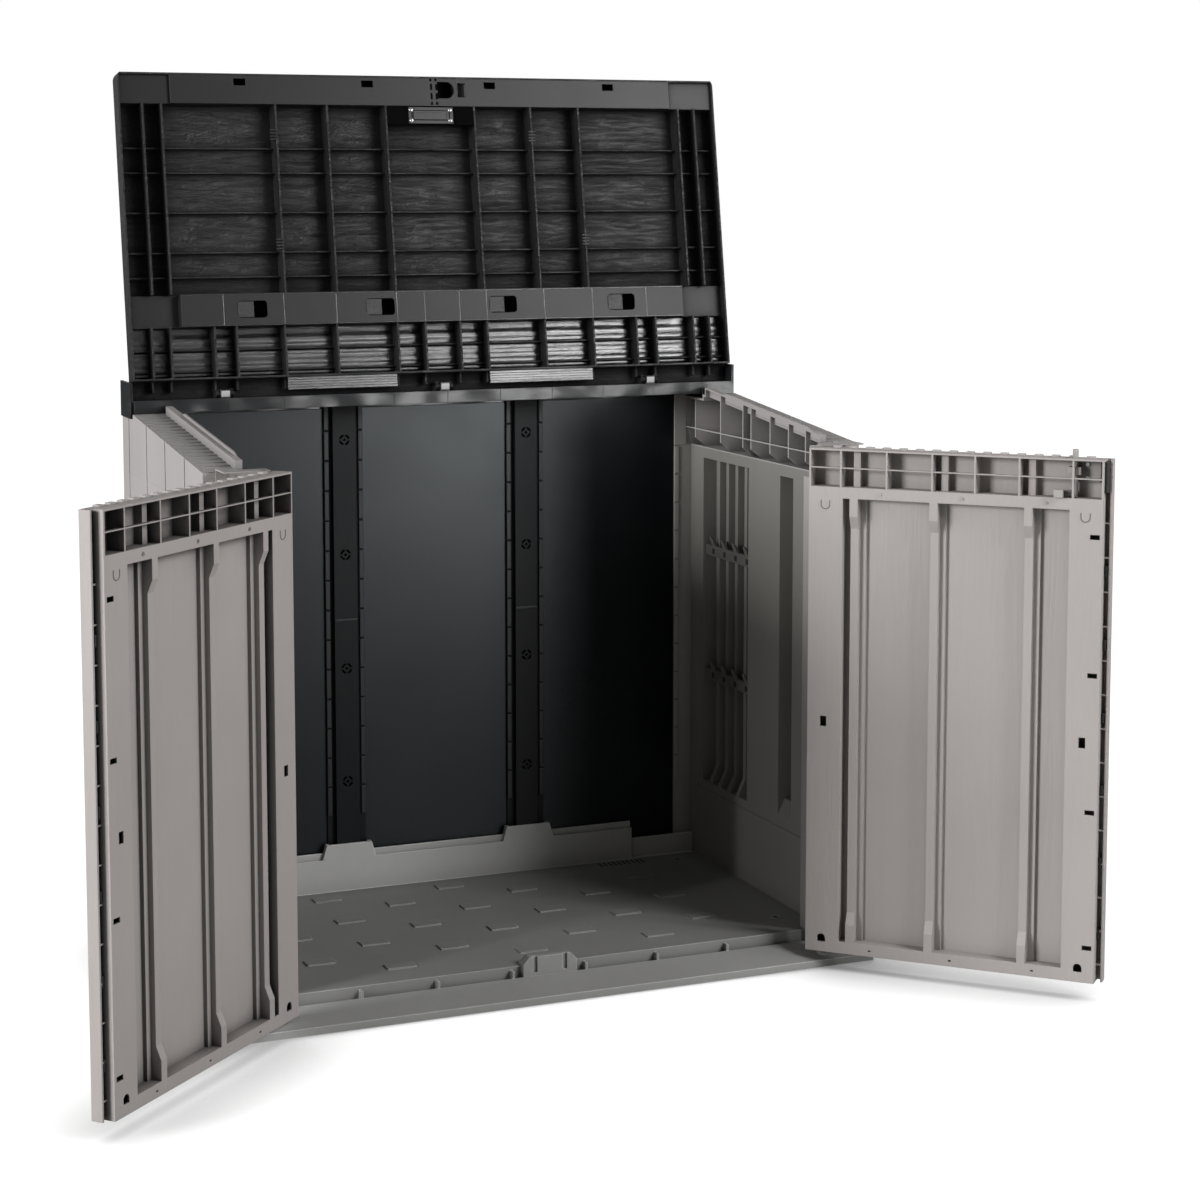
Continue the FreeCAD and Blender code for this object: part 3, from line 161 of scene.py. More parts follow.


# Tray: moulded grey plastic with a satin grain, laid on the ground. All the other pieces stand in it.
# Its floor is painted darker as shade and its rear upstand and sill lighter as light, and it has drain
# slits and four rimmed anchor holes whose openings are black pieces of painted shade. The striker block is
# clipped into the gutter, between two small moulded bosses.
def moulded_plastic(name, colour, shade, roughness, stretch, grain, edge, corner_shade=0.45, shine=0.5,
                    detail=5.0, swirl=1.4, dulling=0.55):
    """Moulded plastic: broad tone changes, an embossed grain, fine satin pitting, edges paled partly as
    rubbed wear and partly as painted highlight, and painted shade that darkens the corners and hollows."""
    material = bpy.data.materials.new(name)
    material.use_nodes = True
    nodes = material.node_tree.nodes
    links = material.node_tree.links
    shader = nodes["Principled BSDF"]
    shader.inputs["Specular IOR Level"].default_value = shine
    place = nodes.new("ShaderNodeTexCoord")
    stretched = nodes.new("ShaderNodeMapping")
    stretched.inputs["Scale"].default_value = stretch
    links.new(place.outputs["Object"], stretched.inputs["Vector"])
    lines = nodes.new("ShaderNodeTexNoise")
    lines.inputs["Scale"].default_value = 1.0
    lines.inputs["Detail"].default_value = detail
    lines.inputs["Roughness"].default_value = 0.6
    lines.inputs["Distortion"].default_value = swirl
    links.new(stretched.outputs[0], lines.inputs["Vector"])
    pits = nodes.new("ShaderNodeTexNoise")
    pits.inputs["Scale"].default_value = 700.0
    pits.inputs["Detail"].default_value = 2.0
    links.new(place.outputs["Object"], pits.inputs["Vector"])
    clouds = nodes.new("ShaderNodeTexNoise")
    clouds.inputs["Scale"].default_value = 4.0
    clouds.inputs["Detail"].default_value = 3.0
    links.new(place.outputs["Object"], clouds.inputs["Vector"])
    tone = nodes.new("ShaderNodeMix")
    tone.data_type = "RGBA"
    tone.inputs["A"].default_value = (*shade, 1)
    tone.inputs["B"].default_value = (*colour, 1)
    blend = nodes.new("ShaderNodeMath")
    blend.operation = "MULTIPLY_ADD"
    blend.inputs[1].default_value = 0.45
    blend.use_clamp = True
    links.new(lines.outputs["Fac"], blend.inputs[0])
    links.new(clouds.outputs["Fac"], blend.inputs[2])
    links.new(blend.outputs[0], tone.inputs["Factor"])
    soft_edge = nodes.new("ShaderNodeBevel")
    soft_edge.samples = 4
    soft_edge.inputs["Radius"].default_value = 0.0018
    flat = nodes.new("ShaderNodeNewGeometry")
    turn = nodes.new("ShaderNodeVectorMath")
    turn.operation = "DOT_PRODUCT"
    links.new(soft_edge.outputs[0], turn.inputs[0])
    links.new(flat.outputs["Normal"], turn.inputs[1])
    # Paler edges: partly rubbed wear, partly a painted highlight along the edges.
    wear_and_highlight = nodes.new("ShaderNodeMapRange")
    wear_and_highlight.inputs["From Min"].default_value = 1.0
    wear_and_highlight.inputs["From Max"].default_value = 0.75
    wear_and_highlight.inputs["To Max"].default_value = edge
    links.new(turn.outputs["Value"], wear_and_highlight.inputs["Value"])
    # Painted shade: the colour is darkened where ambient occlusion finds corners, recesses and hollows.
    corner = nodes.new("ShaderNodeAmbientOcclusion")
    corner.samples = 6
    corner.inputs["Distance"].default_value = 0.07
    painted_corner_shade = nodes.new("ShaderNodeMapRange")
    painted_corner_shade.inputs["From Min"].default_value = 0.25
    painted_corner_shade.inputs["From Max"].default_value = 0.85
    painted_corner_shade.inputs["To Min"].default_value = corner_shade
    painted_corner_shade.inputs["To Max"].default_value = 1.0
    links.new(corner.outputs["AO"], painted_corner_shade.inputs["Value"])
    shaded_tone = nodes.new("ShaderNodeMix")
    shaded_tone.data_type = "RGBA"
    shaded_tone.blend_type = "MULTIPLY"
    shaded_tone.inputs["Factor"].default_value = 1.0
    links.new(tone.outputs["Result"], shaded_tone.inputs["A"])
    links.new(painted_corner_shade.outputs[0], shaded_tone.inputs["B"])
    worn_and_highlit = nodes.new("ShaderNodeMix")
    worn_and_highlit.data_type = "RGBA"
    worn_and_highlit.blend_type = "ADD"
    worn_and_highlit.inputs["B"].default_value = (1, 1, 1, 1)
    links.new(shaded_tone.outputs["Result"], worn_and_highlit.inputs["A"])
    links.new(wear_and_highlight.outputs[0], worn_and_highlit.inputs["Factor"])
    links.new(worn_and_highlit.outputs["Result"], shader.inputs["Base Color"])
    gloss = nodes.new("ShaderNodeMapRange")
    gloss.inputs["To Min"].default_value = roughness - 0.07
    gloss.inputs["To Max"].default_value = roughness + 0.07
    links.new(clouds.outputs["Fac"], gloss.inputs["Value"])
    dull = nodes.new("ShaderNodeMapRange")
    dull.inputs["From Min"].default_value = 0.3
    dull.inputs["From Max"].default_value = 0.9
    dull.inputs["To Min"].default_value = dulling
    dull.inputs["To Max"].default_value = 0
    links.new(corner.outputs["AO"], dull.inputs["Value"])
    rough = nodes.new("ShaderNodeMath")
    rough.operation = "ADD"
    rough.use_clamp = True
    links.new(gloss.outputs[0], rough.inputs[0])
    links.new(dull.outputs[0], rough.inputs[1])
    links.new(rough.outputs[0], shader.inputs["Roughness"])
    relief = nodes.new("ShaderNodeBump")
    relief.inputs["Distance"].default_value = grain
    links.new(lines.outputs["Fac"], relief.inputs["Height"])
    links.new(soft_edge.outputs[0], relief.inputs["Normal"])
    pitted = nodes.new("ShaderNodeBump")
    pitted.inputs["Distance"].default_value = 0.00006
    links.new(pits.outputs["Fac"], pitted.inputs["Height"])
    links.new(relief.outputs[0], pitted.inputs["Normal"])
    links.new(pitted.outputs[0], shader.inputs["Normal"])
    return material


def finish(material, *names):
    """Gives CAD nodes a material."""
    for node in names:
        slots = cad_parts[node].data.materials
        slots.clear()
        slots.append(material)


def block(name, low, high, edge):
    """Starts a piece as a block between two corners and rounds its edges over."""
    middle = [(a + b) / 2 for a, b in zip(low, high)]
    size = [b - a for a, b in zip(low, high)]
    bpy.ops.object.select_all(action="DESELECT")
    bpy.ops.mesh.primitive_cube_add(size=1, location=middle, scale=size)
    piece = bpy.context.object
    piece.name = name
    bpy.ops.object.transform_apply(location=True, rotation=True, scale=True)
    bpy.ops.object.mode_set(mode="EDIT")
    bpy.ops.mesh.bevel(offset=edge, segments=2, affect="EDGES")
    bpy.ops.object.mode_set(mode="OBJECT")
    return piece


def in_a_row(piece, count, step):
    """Repeats a piece along a line, all in one mesh."""
    row = piece.modifiers.new("row", "ARRAY")
    row.count = count
    row.use_relative_offset = False
    row.use_constant_offset = True
    row.constant_offset_displace = step
    bpy.context.view_layer.objects.active = piece
    bpy.ops.object.modifier_apply(modifier=row.name)


def pick(piece, wanted):
    """Opens a piece for editing with only the wanted corners selected."""
    bpy.context.view_layer.objects.active = piece
    bpy.ops.object.mode_set(mode="EDIT")
    bpy.ops.mesh.select_mode(type="VERT")
    bpy.ops.mesh.select_all(action="DESELECT")
    bpy.ops.object.mode_set(mode="OBJECT")
    for corner in piece.data.vertices:
        corner.select = wanted(corner.co)
    bpy.ops.object.mode_set(mode="EDIT")


def put(piece, material, body):
    """Gives a new piece its finish and the body that it moves with."""
    piece.data.materials.clear()
    piece.data.materials.append(material)
    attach(piece, body)


# The tray's large edge value paints highlights along the pads' and sill's edges.
tray_plastic = moulded_plastic("tray_plastic", (0.35, 0.349, 0.342), (0.29, 0.289, 0.283), roughness=0.55,
                               stretch=(18, 18, 18), grain=0.0002, edge=0.6, corner_shade=0.75)
# Painted light and shade: the tray's floor is darkened as shade, and its rear upstand and its sill are
# lightened as light, split at these depths.
tray_shade_back = 0.372
tray_shade_front = -0.312
sill_front = -0.4052
floor_painted_shade = 0.78
upstand_painted_light = 1.7
sill_painted_light = 0.27
sill_front_painted_light = 0.3
tray_nodes = tray_plastic.node_tree.nodes
tray_links = tray_plastic.node_tree.links
tray_shader = tray_nodes["Principled BSDF"]
plastic_tone = tray_shader.inputs["Base Color"].links[0].from_socket
tray_place = tray_nodes.new("ShaderNodeTexCoord")
tray_axes = tray_nodes.new("ShaderNodeSeparateXYZ")
tray_links.new(tray_place.outputs["Object"], tray_axes.inputs[0])
behind = tray_nodes.new("ShaderNodeMapRange")
behind.inputs["From Min"].default_value = tray_shade_back - 0.002
behind.inputs["From Max"].default_value = tray_shade_back + 0.002
behind.inputs["To Min"].default_value = floor_painted_shade
behind.inputs["To Max"].default_value = upstand_painted_light
tray_links.new(tray_axes.outputs["Y"], behind.inputs["Value"])
before = tray_nodes.new("ShaderNodeMapRange")
before.inputs["From Min"].default_value = tray_shade_front + 0.004
before.inputs["From Max"].default_value = tray_shade_front - 0.001
before.inputs["To Min"].default_value = 0
before.inputs["To Max"].default_value = sill_painted_light
tray_links.new(tray_axes.outputs["Y"], before.inputs["Value"])
in_front = tray_nodes.new("ShaderNodeMapRange")
in_front.inputs["From Min"].default_value = sill_front + 0.001
in_front.inputs["From Max"].default_value = sill_front - 0.0004
in_front.inputs["To Min"].default_value = 0
in_front.inputs["To Max"].default_value = sill_front_painted_light
tray_links.new(tray_axes.outputs["Y"], in_front.inputs["Value"])
sill_light_sum = tray_nodes.new("ShaderNodeMath")
sill_light_sum.operation = "ADD"
tray_links.new(before.outputs[0], sill_light_sum.inputs[0])
tray_links.new(in_front.outputs[0], sill_light_sum.inputs[1])
painted_light_factor = tray_nodes.new("ShaderNodeMath")
painted_light_factor.operation = "ADD"
tray_links.new(behind.outputs[0], painted_light_factor.inputs[0])
tray_links.new(sill_light_sum.outputs[0], painted_light_factor.inputs[1])
painted_light_scale = tray_nodes.new("ShaderNodeVectorMath")
painted_light_scale.operation = "SCALE"
tray_links.new(plastic_tone, painted_light_scale.inputs[0])
tray_links.new(painted_light_factor.outputs[0], painted_light_scale.inputs["Scale"])
tray_links.new(painted_light_scale.outputs[0], tray_shader.inputs["Base Color"])
finish(tray_plastic, "base_tray", "sill_striker")
tray_hole_black = moulded_plastic("tray_hole_black", (0.02, 0.02, 0.02), (0.014, 0.014, 0.014),
                                  roughness=0.7, stretch=(20, 20, 20), grain=0.0001, edge=0)
tray_floor = 0.056
slit_count = 10
slit_pitch = 0.012
slit_start = 0.395
slit_end = 0.4
slit_front = 0.331
slit_back = 0.36
# The slits are thin black plates: painted shade standing in for their openings.
drain_slit = block("floor_drain_slits", (slit_start, slit_front, tray_floor - 0.001),
                   (slit_end, slit_back, tray_floor + 0.0004), edge=0.0003)
in_a_row(drain_slit, slit_count, (slit_pitch, 0, 0))
put(drain_slit, tray_hole_black, "box")
anchor_x = 0.59
anchor_front = -0.203
anchor_rear = 0.325
anchor_radius = 0.011
anchor_hole_radius = 0.0068
for name, x, y in (("left_front_anchor", -anchor_x, anchor_front),
                   ("left_rear_anchor", -anchor_x, anchor_rear),
                   ("right_front_anchor", anchor_x, anchor_front),
                   ("right_rear_anchor", anchor_x, anchor_rear)):
    bpy.ops.object.select_all(action="DESELECT")
    bpy.ops.mesh.primitive_cylinder_add(vertices=28, radius=anchor_radius, depth=0.003,
                                        location=(x, y, tray_floor))
    rim = bpy.context.object
    rim.name = name + "_rim"
    bpy.ops.object.transform_apply(location=True, rotation=True, scale=True)
    pick(rim, lambda corner: corner.z > tray_floor)
    bpy.ops.mesh.select_mode(type="FACE")
    bpy.ops.mesh.inset(thickness=0.0025)
    bpy.ops.mesh.extrude_region_move(TRANSFORM_OT_translate={"value": (0, 0, -0.0012)})
    bpy.ops.object.mode_set(mode="OBJECT")
    put(rim, tray_plastic, "box")
    # Each hole's opening is a black disc of painted shade.
    bpy.ops.object.select_all(action="DESELECT")
    bpy.ops.mesh.primitive_cylinder_add(vertices=28, radius=anchor_hole_radius, depth=0.002,
                                        location=(x, y, tray_floor - 0.0003))
    hole = bpy.context.object
    hole.name = name + "_hole"
    bpy.ops.object.transform_apply(location=True, rotation=True, scale=True)
    bpy.ops.object.mode_set(mode="EDIT")
    bpy.ops.mesh.bevel(offset=0.0003, segments=1, affect="EDGES")
    bpy.ops.object.mode_set(mode="OBJECT")
    put(hole, tray_hole_black, "box")
boss_x = 0.105
boss_y = -0.318
boss_middle = 0.0265
boss_radius = 0.0055
boss_height = 0.008
for name, x in (("left_gutter_boss", -boss_x), ("right_gutter_boss", boss_x)):
    bpy.ops.object.select_all(action="DESELECT")
    bpy.ops.mesh.primitive_cylinder_add(vertices=24, radius=boss_radius, depth=boss_height,
                                        location=(x, boss_y, boss_middle))
    boss = bpy.context.object
    boss.name = name
    bpy.ops.object.transform_apply(location=True, rotation=True, scale=True)
    bpy.ops.object.mode_set(mode="EDIT")
    bpy.ops.mesh.bevel(offset=0.001, segments=2, affect="EDGES")
    bpy.ops.object.mode_set(mode="OBJECT")
    put(boss, tray_plastic, "box")

# Side walls: taupe plastic panels with an embossed upright wood grain, hooked together at the corners, with
# a greyer liner inside, its colour painted much darker than the panels' as painted shade for the inside of
# the box. The tool racks are smooth, darker mouldings pushed onto the liners' ribs.
wall_plastic = moulded_plastic("wall_plastic", (0.44, 0.417, 0.411), (0.38, 0.36, 0.354), roughness=0.5,
                               stretch=(60, 60, 3), grain=0.0003, edge=0.06)
# The wall tops take a copy of the wall plastic with much deeper painted shade in its corners and hollows.
wall_top_plastic = moulded_plastic("wall_top_plastic", (0.44, 0.417, 0.411), (0.38, 0.36, 0.354),
                                   roughness=0.5, stretch=(60, 60, 3), grain=0.0003, edge=0.06,
                                   corner_shade=0.2)
liner_shaded_plastic = moulded_plastic("liner_shaded_plastic", (0.265, 0.257, 0.238), (0.228, 0.221, 0.206),
                                roughness=0.5, stretch=(60, 60, 3), grain=0.0003, edge=0.05,
                                corner_shade=0.7)
for side in ("left_", "right_"):
    finish(wall_plastic, side + "side_panel", side + "front_jamb")
    finish(wall_top_plastic, side + "wall_top")
    finish(liner_shaded_plastic, side + "side_liner")
rack_plastic = moulded_plastic("rack_plastic", (0.165, 0.159, 0.15), (0.135, 0.13, 0.123), roughness=0.45,
                               stretch=(20, 20, 20), grain=0.0001, edge=0.06)
rack_shadow = moulded_plastic("rack_shadow", (0.03, 0.029, 0.027), (0.02, 0.019, 0.018), roughness=0.7,
                              stretch=(20, 20, 20), grain=0.0001, edge=0)
rack_thickness = 0.012
bar_height = 0.026
prong_count = 4
prong_width = 0.02
prong_start = 0.006
prong_foot = 0.02
hole_start = 0.008
hole_end = 0.022
hole_foot = 0.006
hole_top = 0.019
for side, outwards in (("left_", -1), ("right_", 1)):
    for level in ("upper", "lower"):
        node = side + level + "_tool_rack"
        low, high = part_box(node)
        wall_x = max(low.x * outwards, high.x * outwards)
        bar_x = wall_x - rack_thickness
        ends = sorted((outwards * bar_x, outwards * wall_x))
        rack = block(node + "_bar", (ends[0], low.y, low.z), (ends[1], high.y, low.z + bar_height),
                     edge=0.002)
        gap = (high.y - low.y) / prong_count
        prong = block(node + "_prong", (ends[0], low.y + prong_start, low.z + prong_foot),
                      (ends[1], low.y + prong_start + prong_width, high.z), edge=0.002)
        pick(prong, lambda corner: corner.z > high.z - 0.003)
        bpy.ops.transform.resize(value=(0.5, 0.45, 1))
        bpy.ops.transform.translate(value=(-outwards * 0.01, 0.004, 0))
        bpy.ops.object.mode_set(mode="OBJECT")
        in_a_row(prong, prong_count, (0, gap, 0))
        rack.select_set(True)
        prong.select_set(True)
        bpy.context.view_layer.objects.active = rack
        bpy.ops.object.join()
        put(rack, rack_plastic, "box")
        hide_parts(node)
        hole_ends = sorted((outwards * (bar_x - 0.0004), outwards * (bar_x + 0.003)))
        holes = block(node + "_holes", (hole_ends[0], low.y + hole_start, low.z + hole_foot),
                      (hole_ends[1], low.y + hole_end, low.z + hole_top), edge=0.0008)
        in_a_row(holes, prong_count, (0, gap, 0))
        put(holes, rack_shadow, "box")

# Back: thin dark sheets slid into the tray and the posts. The posts are satin black mouldings in two
# lengths, pushed together end to end, with clips along both edges and round vents, whose dark openings are
# black discs of painted shade. A grey clipped strip closes each corner.
sheet_plastic = moulded_plastic("sheet_plastic", (0.0035, 0.0044, 0.006), (0.0025, 0.0032, 0.0045),
                                roughness=0.3, stretch=(120, 120, 2), grain=0.0001, edge=0.01, shine=0.36,
                                dulling=0)
sheet_plastic.node_tree.nodes["Principled BSDF"].inputs["Specular Tint"].default_value = (0.92, 0.975, 1, 1)
finish(sheet_plastic, "left_back_sheet", "centre_back_sheet", "right_back_sheet")
post_plastic = moulded_plastic("post_plastic", (0.007, 0.008, 0.0095), (0.005, 0.0057, 0.0068),
                               roughness=0.38, stretch=(20, 20, 20), grain=0.0004, edge=0.015, shine=0.14)
for side in ("left_", "right_"):
    finish(post_plastic, side + "post_lower", side + "post_upper")
flange_depth = 0.011
clip_pitch = 0.069
clip_width = 0.011
joint_half_width = 0.027
joint_half_height = 0.003
clip_plastic = moulded_plastic("clip_plastic", (0.014, 0.0155, 0.0175), (0.01, 0.011, 0.0125),
                               roughness=0.34, stretch=(20, 20, 20), grain=0.0003, edge=0.03, shine=0.3)
vent_black = moulded_plastic("vent_black", (0.0015, 0.0015, 0.0015), (0.001, 0.001, 0.001), roughness=0.8,
                             stretch=(20, 20, 20), grain=0.0001, edge=0, shine=0.05)
vent_count = 4
vent_radius = 0.0145
vent_drop = 0.09
vent_pitch = 0.2647
for side in ("left_", "right_"):
    foot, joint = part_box(side + "post_lower")
    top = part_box(side + "post_upper")[1]
    flange_y = foot.y + flange_depth
    clip_count = int((top.z - foot.z - 0.12) / clip_pitch)
    for edge, start in (("inner", foot.x), ("outer", top.x - clip_width)):
        clips = block(side + "post_" + edge + "_clips",
                      (start, flange_y - 0.0035, top.z - clip_pitch + 0.002),
                      (start + clip_width, flange_y + 0.001, top.z - 0.002), edge=0.001)
        in_a_row(clips, clip_count, (0, 0, -clip_pitch))
        put(clips, clip_plastic, "box")
    middle_x = (foot.x + top.x) / 2
    joint_bar = block(side + "post_joint",
                      (middle_x - joint_half_width, foot.y - 0.001, joint.z - joint_half_height),
                      (middle_x + joint_half_width, foot.y + 0.004, joint.z + joint_half_height),
                      edge=0.001)
    put(joint_bar, clip_plastic, "box")
    # The vents are black discs: painted shade standing in for their dark openings.
    bpy.ops.object.select_all(action="DESELECT")
    bpy.ops.mesh.primitive_cylinder_add(vertices=24, radius=vent_radius, depth=0.002,
                                        location=(middle_x, foot.y + 0.0055, top.z - vent_drop),
                                        rotation=(math.radians(90), 0, 0))
    vents = bpy.context.object
    vents.name = side + "post_vents"
    bpy.ops.object.transform_apply(location=True, rotation=True, scale=True)
    bpy.ops.object.mode_set(mode="EDIT")
    bpy.ops.mesh.bevel(offset=0.0005, segments=1, affect="EDGES")
    bpy.ops.object.mode_set(mode="OBJECT")
    in_a_row(vents, vent_count, (0, 0, -vent_pitch))
    put(vents, vent_black, "box")
strip_plastic = moulded_plastic("strip_plastic", (0.43, 0.414, 0.388), (0.37, 0.356, 0.335), roughness=0.45,
                                stretch=(20, 20, 20), grain=0.0002, edge=0.05)
for side, outwards in (("left_", -1), ("right_", 1)):
    finish(strip_plastic, side + "rear_strip")
    low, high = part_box(side + "rear_strip")
    inner_x = min(low.x * outwards, high.x * outwards)
    ends = sorted((outwards * inner_x, outwards * (inner_x + clip_width)))
    clips = block(side + "strip_clips", (ends[0], low.y - 0.003, high.z - clip_pitch + 0.002),
                  (ends[1], low.y + 0.001, high.z - 0.002), edge=0.001)
    in_a_row(clips, int((high.z - 0.2) / clip_pitch), (0, 0, -clip_pitch))
    put(clips, strip_plastic, "box")
    post_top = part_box(side + "post_upper")[1].z
    strip_top = block(side + "strip_top", (low.x, low.y, high.z + 0.0005), (high.x, high.y, post_top),
                      edge=0.001)
    put(strip_top, strip_plastic, "box")

# Hinge rail: a glossy black moulding that joins the walls along the back and carries the lid on its pins.
# Fine seams cross its front, and three small pale caps are clipped on above them.
rail_plastic = moulded_plastic("rail_plastic", (0.02, 0.021, 0.023), (0.014, 0.015, 0.016), roughness=0.22,
                               stretch=(13, 6, 20), grain=0.006, edge=0.02, corner_shade=0.6, shine=0.36,
                               detail=0, swirl=0, dulling=0)
finish(rail_plastic, "hinge_rail", "left_rail_cap", "right_rail_cap")
rail_low, rail_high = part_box("hinge_rail")
pin_low, pin_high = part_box("lid_hinge_pins")
hinge = Vector(((pin_low.x + pin_high.x) / 2, (pin_low.y + pin_high.y) / 2, (pin_low.z + pin_high.z) / 2))
rail_top = hinge.z - 0.0085
seam_half_width = 0.0008
seam_count = 9
seam_gap = (rail_high.x - rail_low.x) / (seam_count + 1)
seam_x = rail_low.x + seam_gap
seams = block("rail_seams", (seam_x - seam_half_width, rail_low.y - 0.0006, rail_top - 0.027),
              (seam_x + seam_half_width, rail_low.y + 0.001, rail_top - 0.001), edge=0.0002)
in_a_row(seams, seam_count, (seam_gap, 0, 0))
put(seams, rail_plastic, "box")
pale_plastic = moulded_plastic("pale_plastic", (0.62, 0.62, 0.61), (0.54, 0.54, 0.53), roughness=0.4,
                               stretch=(30, 30, 30), grain=0.0001, edge=0.05)
tab_half_width = 0.0095
tab_reach = rail_high.x - 0.127
for name, x in (("left_tab_cap", -tab_reach), ("middle_tab_cap", 0), ("right_tab_cap", tab_reach)):
    tab_cap = block(name, (x - tab_half_width, hinge.y - 0.0115, rail_top + 0.001),
                    (x + tab_half_width, hinge.y - 0.009, rail_top + 0.015), edge=0.0008)
    put(tab_cap, pale_plastic, "box")

# Lid: one black moulding, its skin embossed with a wavy grain, its ribs and edges smooth. The front bar,
# the corner pieces and the crossbar are smooth mouldings clipped between the ribs. The skin behind the
# crossbar is glossy and rippled, and two louvred shrouds cover the hinge.
# The lid's pale edges are mostly painted highlight along its ribs.
lid_plastic = moulded_plastic("lid_plastic", (0.009, 0.0091, 0.0094), (0.006, 0.0061, 0.0063),
                              roughness=0.36, stretch=(15, 64, 64), grain=0.0042, edge=0.04,
                              corner_shade=0.1, shine=0.38, swirl=2.2)
lid_smooth_plastic = moulded_plastic("lid_smooth_plastic", (0.009, 0.009, 0.0092), (0.007, 0.007, 0.0072),
                                     roughness=0.4, stretch=(30, 30, 30), grain=0.0001, edge=0.02,
                                     corner_shade=0.4, shine=0.32)
finish(lid_plastic, "lid_panel")
finish(lid_smooth_plastic, "lid_front_bar", "left_lid_corner", "right_lid_corner", "lid_crossbar")
finish(vent_black, "lid_plate_bracket")
lid_lean = 9.2
lid_inside = -0.0195
lid_rim_reach = 0.715


def lid_block(name, x0, x1, near, far, low, high, edge):
    """Block laid out on the shut lid: across, forward from the hinge, and up from its axis."""
    return block(name, (x0, -far, low), (x1, -near, high), edge)


def stand_in_lid(piece, material):
    """Stands a piece that was laid out on the shut lid up with the open lid."""
    bpy.ops.object.select_all(action="DESELECT")
    piece.select_set(True)
    bpy.context.view_layer.objects.active = piece
    piece.rotation_euler = (-math.radians(90 + lid_lean), 0, 0)
    piece.location = hinge
    bpy.ops.object.transform_apply(location=True, rotation=True, scale=True)
    put(piece, material, "lid")


lid_gloss_plastic = moulded_plastic("lid_gloss_plastic", (0.012, 0.012, 0.0122), (0.009, 0.009, 0.0092),
                                    roughness=0.24, stretch=(5, 40, 40), grain=0.0012, edge=0.01,
                                    corner_shade=0.4, shine=1.0, dulling=0)
bpy.ops.object.select_all(action="DESELECT")
skin_middle = 0.091
skin_length = 0.11
skin_level = 0.0212
bpy.ops.mesh.primitive_grid_add(x_subdivisions=2, y_subdivisions=36, size=1,
                                location=(0, -skin_middle, skin_level))
lower_skin = bpy.context.object
lower_skin.name = "lid_lower_skin"
lower_skin.scale = (2 * lid_rim_reach - 0.012, skin_length, 1)
bpy.ops.object.transform_apply(location=True, rotation=True, scale=True)
for place, depth in ((0.046, -0.0045), (0.069, -0.004), (0.092, -0.0045), (0.118, -0.0035)):
    pick(lower_skin, lambda corner: abs(corner.y + place) < 0.0016)
    bpy.ops.transform.translate(value=(0, 0, depth), use_proportional_edit=True, proportional_size=0.016,
                                proportional_edit_falloff="SMOOTH")
    bpy.ops.object.mode_set(mode="OBJECT")
thick = lower_skin.modifiers.new("thick", "SOLIDIFY")
thick.thickness = 0.0006
bpy.ops.object.modifier_apply(modifier=thick.name)
bpy.ops.object.shade_smooth_by_angle(angle=math.radians(50))
stand_in_lid(lower_skin, lid_gloss_plastic)

louvre = 0.0056
louvre_count = 5
louvre_tilt = 0.00084
shroud_near = 0.003
shroud_inner = 0.112
shroud_outer = 0.369
for name, side in (("left_shroud", -1), ("right_shroud", 1)):
    ends = sorted((side * shroud_inner, side * shroud_outer))
    shroud = lid_block(name, ends[0], ends[1], near=shroud_near, far=shroud_near + louvre - 0.0001,
                       low=-0.00504, high=-0.0015, edge=0.0002)
    pick(shroud, lambda corner: corner.z < -0.004 and corner.y > -shroud_near - louvre / 2)
    bpy.ops.transform.translate(value=(0, 0, louvre_tilt))
    bpy.ops.object.mode_set(mode="OBJECT")
    in_a_row(shroud, louvre_count, (0, -louvre, 0))
    stand_in_lid(shroud, lid_gloss_plastic)

# The grid holes are black blocks: painted shade standing in for their openings.
grid_hole_width = 0.005
grid_hole_pitch = 0.0125
for name, x, near, far in (("front_bar_grid_1", 0.0015, 0.7005, 0.7062),
                           ("front_bar_grid_2", 0.0025, 0.68, 0.694),
                           ("front_bar_grid_3", 0.0025, 0.6585, 0.673),
                           ("front_bar_grid_4", 0.0025, 0.6455, 0.6525)):
    grid_hole = lid_block(name, x, x + grid_hole_width, near=near, far=far, low=lid_inside - 0.0004,
                          high=lid_inside + 0.001, edge=0.0003)
    in_a_row(grid_hole, 2, (grid_hole_pitch, 0, 0))
    stand_in_lid(grid_hole, vent_black)

crossbar_face = lid_inside - 0.0025
slot_fill_plastic = moulded_plastic("slot_fill_plastic", (0.022, 0.022, 0.022), (0.013, 0.013, 0.013),
                                    roughness=0.4, stretch=(90, 160, 160), grain=0.0012, edge=0.03,
                                    corner_shade=0.5, shine=0.4)
inner_slot = 0.148
outer_slot = 0.445
for name, x in (("slot_fill_1", -outer_slot), ("slot_fill_2", -inner_slot), ("slot_fill_3", inner_slot),
                ("slot_fill_4", outer_slot)):
    slot_fill = lid_block(name, x - 0.034, x + 0.004, near=0.165, far=0.2015, low=crossbar_face + 0.0012,
                          high=crossbar_face + 0.004, edge=0.001)
    stand_in_lid(slot_fill, slot_fill_plastic)
for name, x in (("crossbar_seam_1", -0.51), ("crossbar_seam_2", -0.372), ("crossbar_seam_3", -0.251),
                ("crossbar_seam_4", -0.108), ("crossbar_seam_5", -0.042), ("crossbar_seam_6", 0.042),
                ("crossbar_seam_7", 0.108), ("crossbar_seam_8", 0.251), ("crossbar_seam_9", 0.372),
                ("crossbar_seam_10", 0.51)):
    seam = lid_block(name, x - seam_half_width, x + seam_half_width, near=0.148, far=0.218,
                     low=crossbar_face - 0.0004, high=crossbar_face + 0.001, edge=0.0002)
    stand_in_lid(seam, lid_gloss_plastic)
rim_reach = 0.604
rim_gap = 0.0685
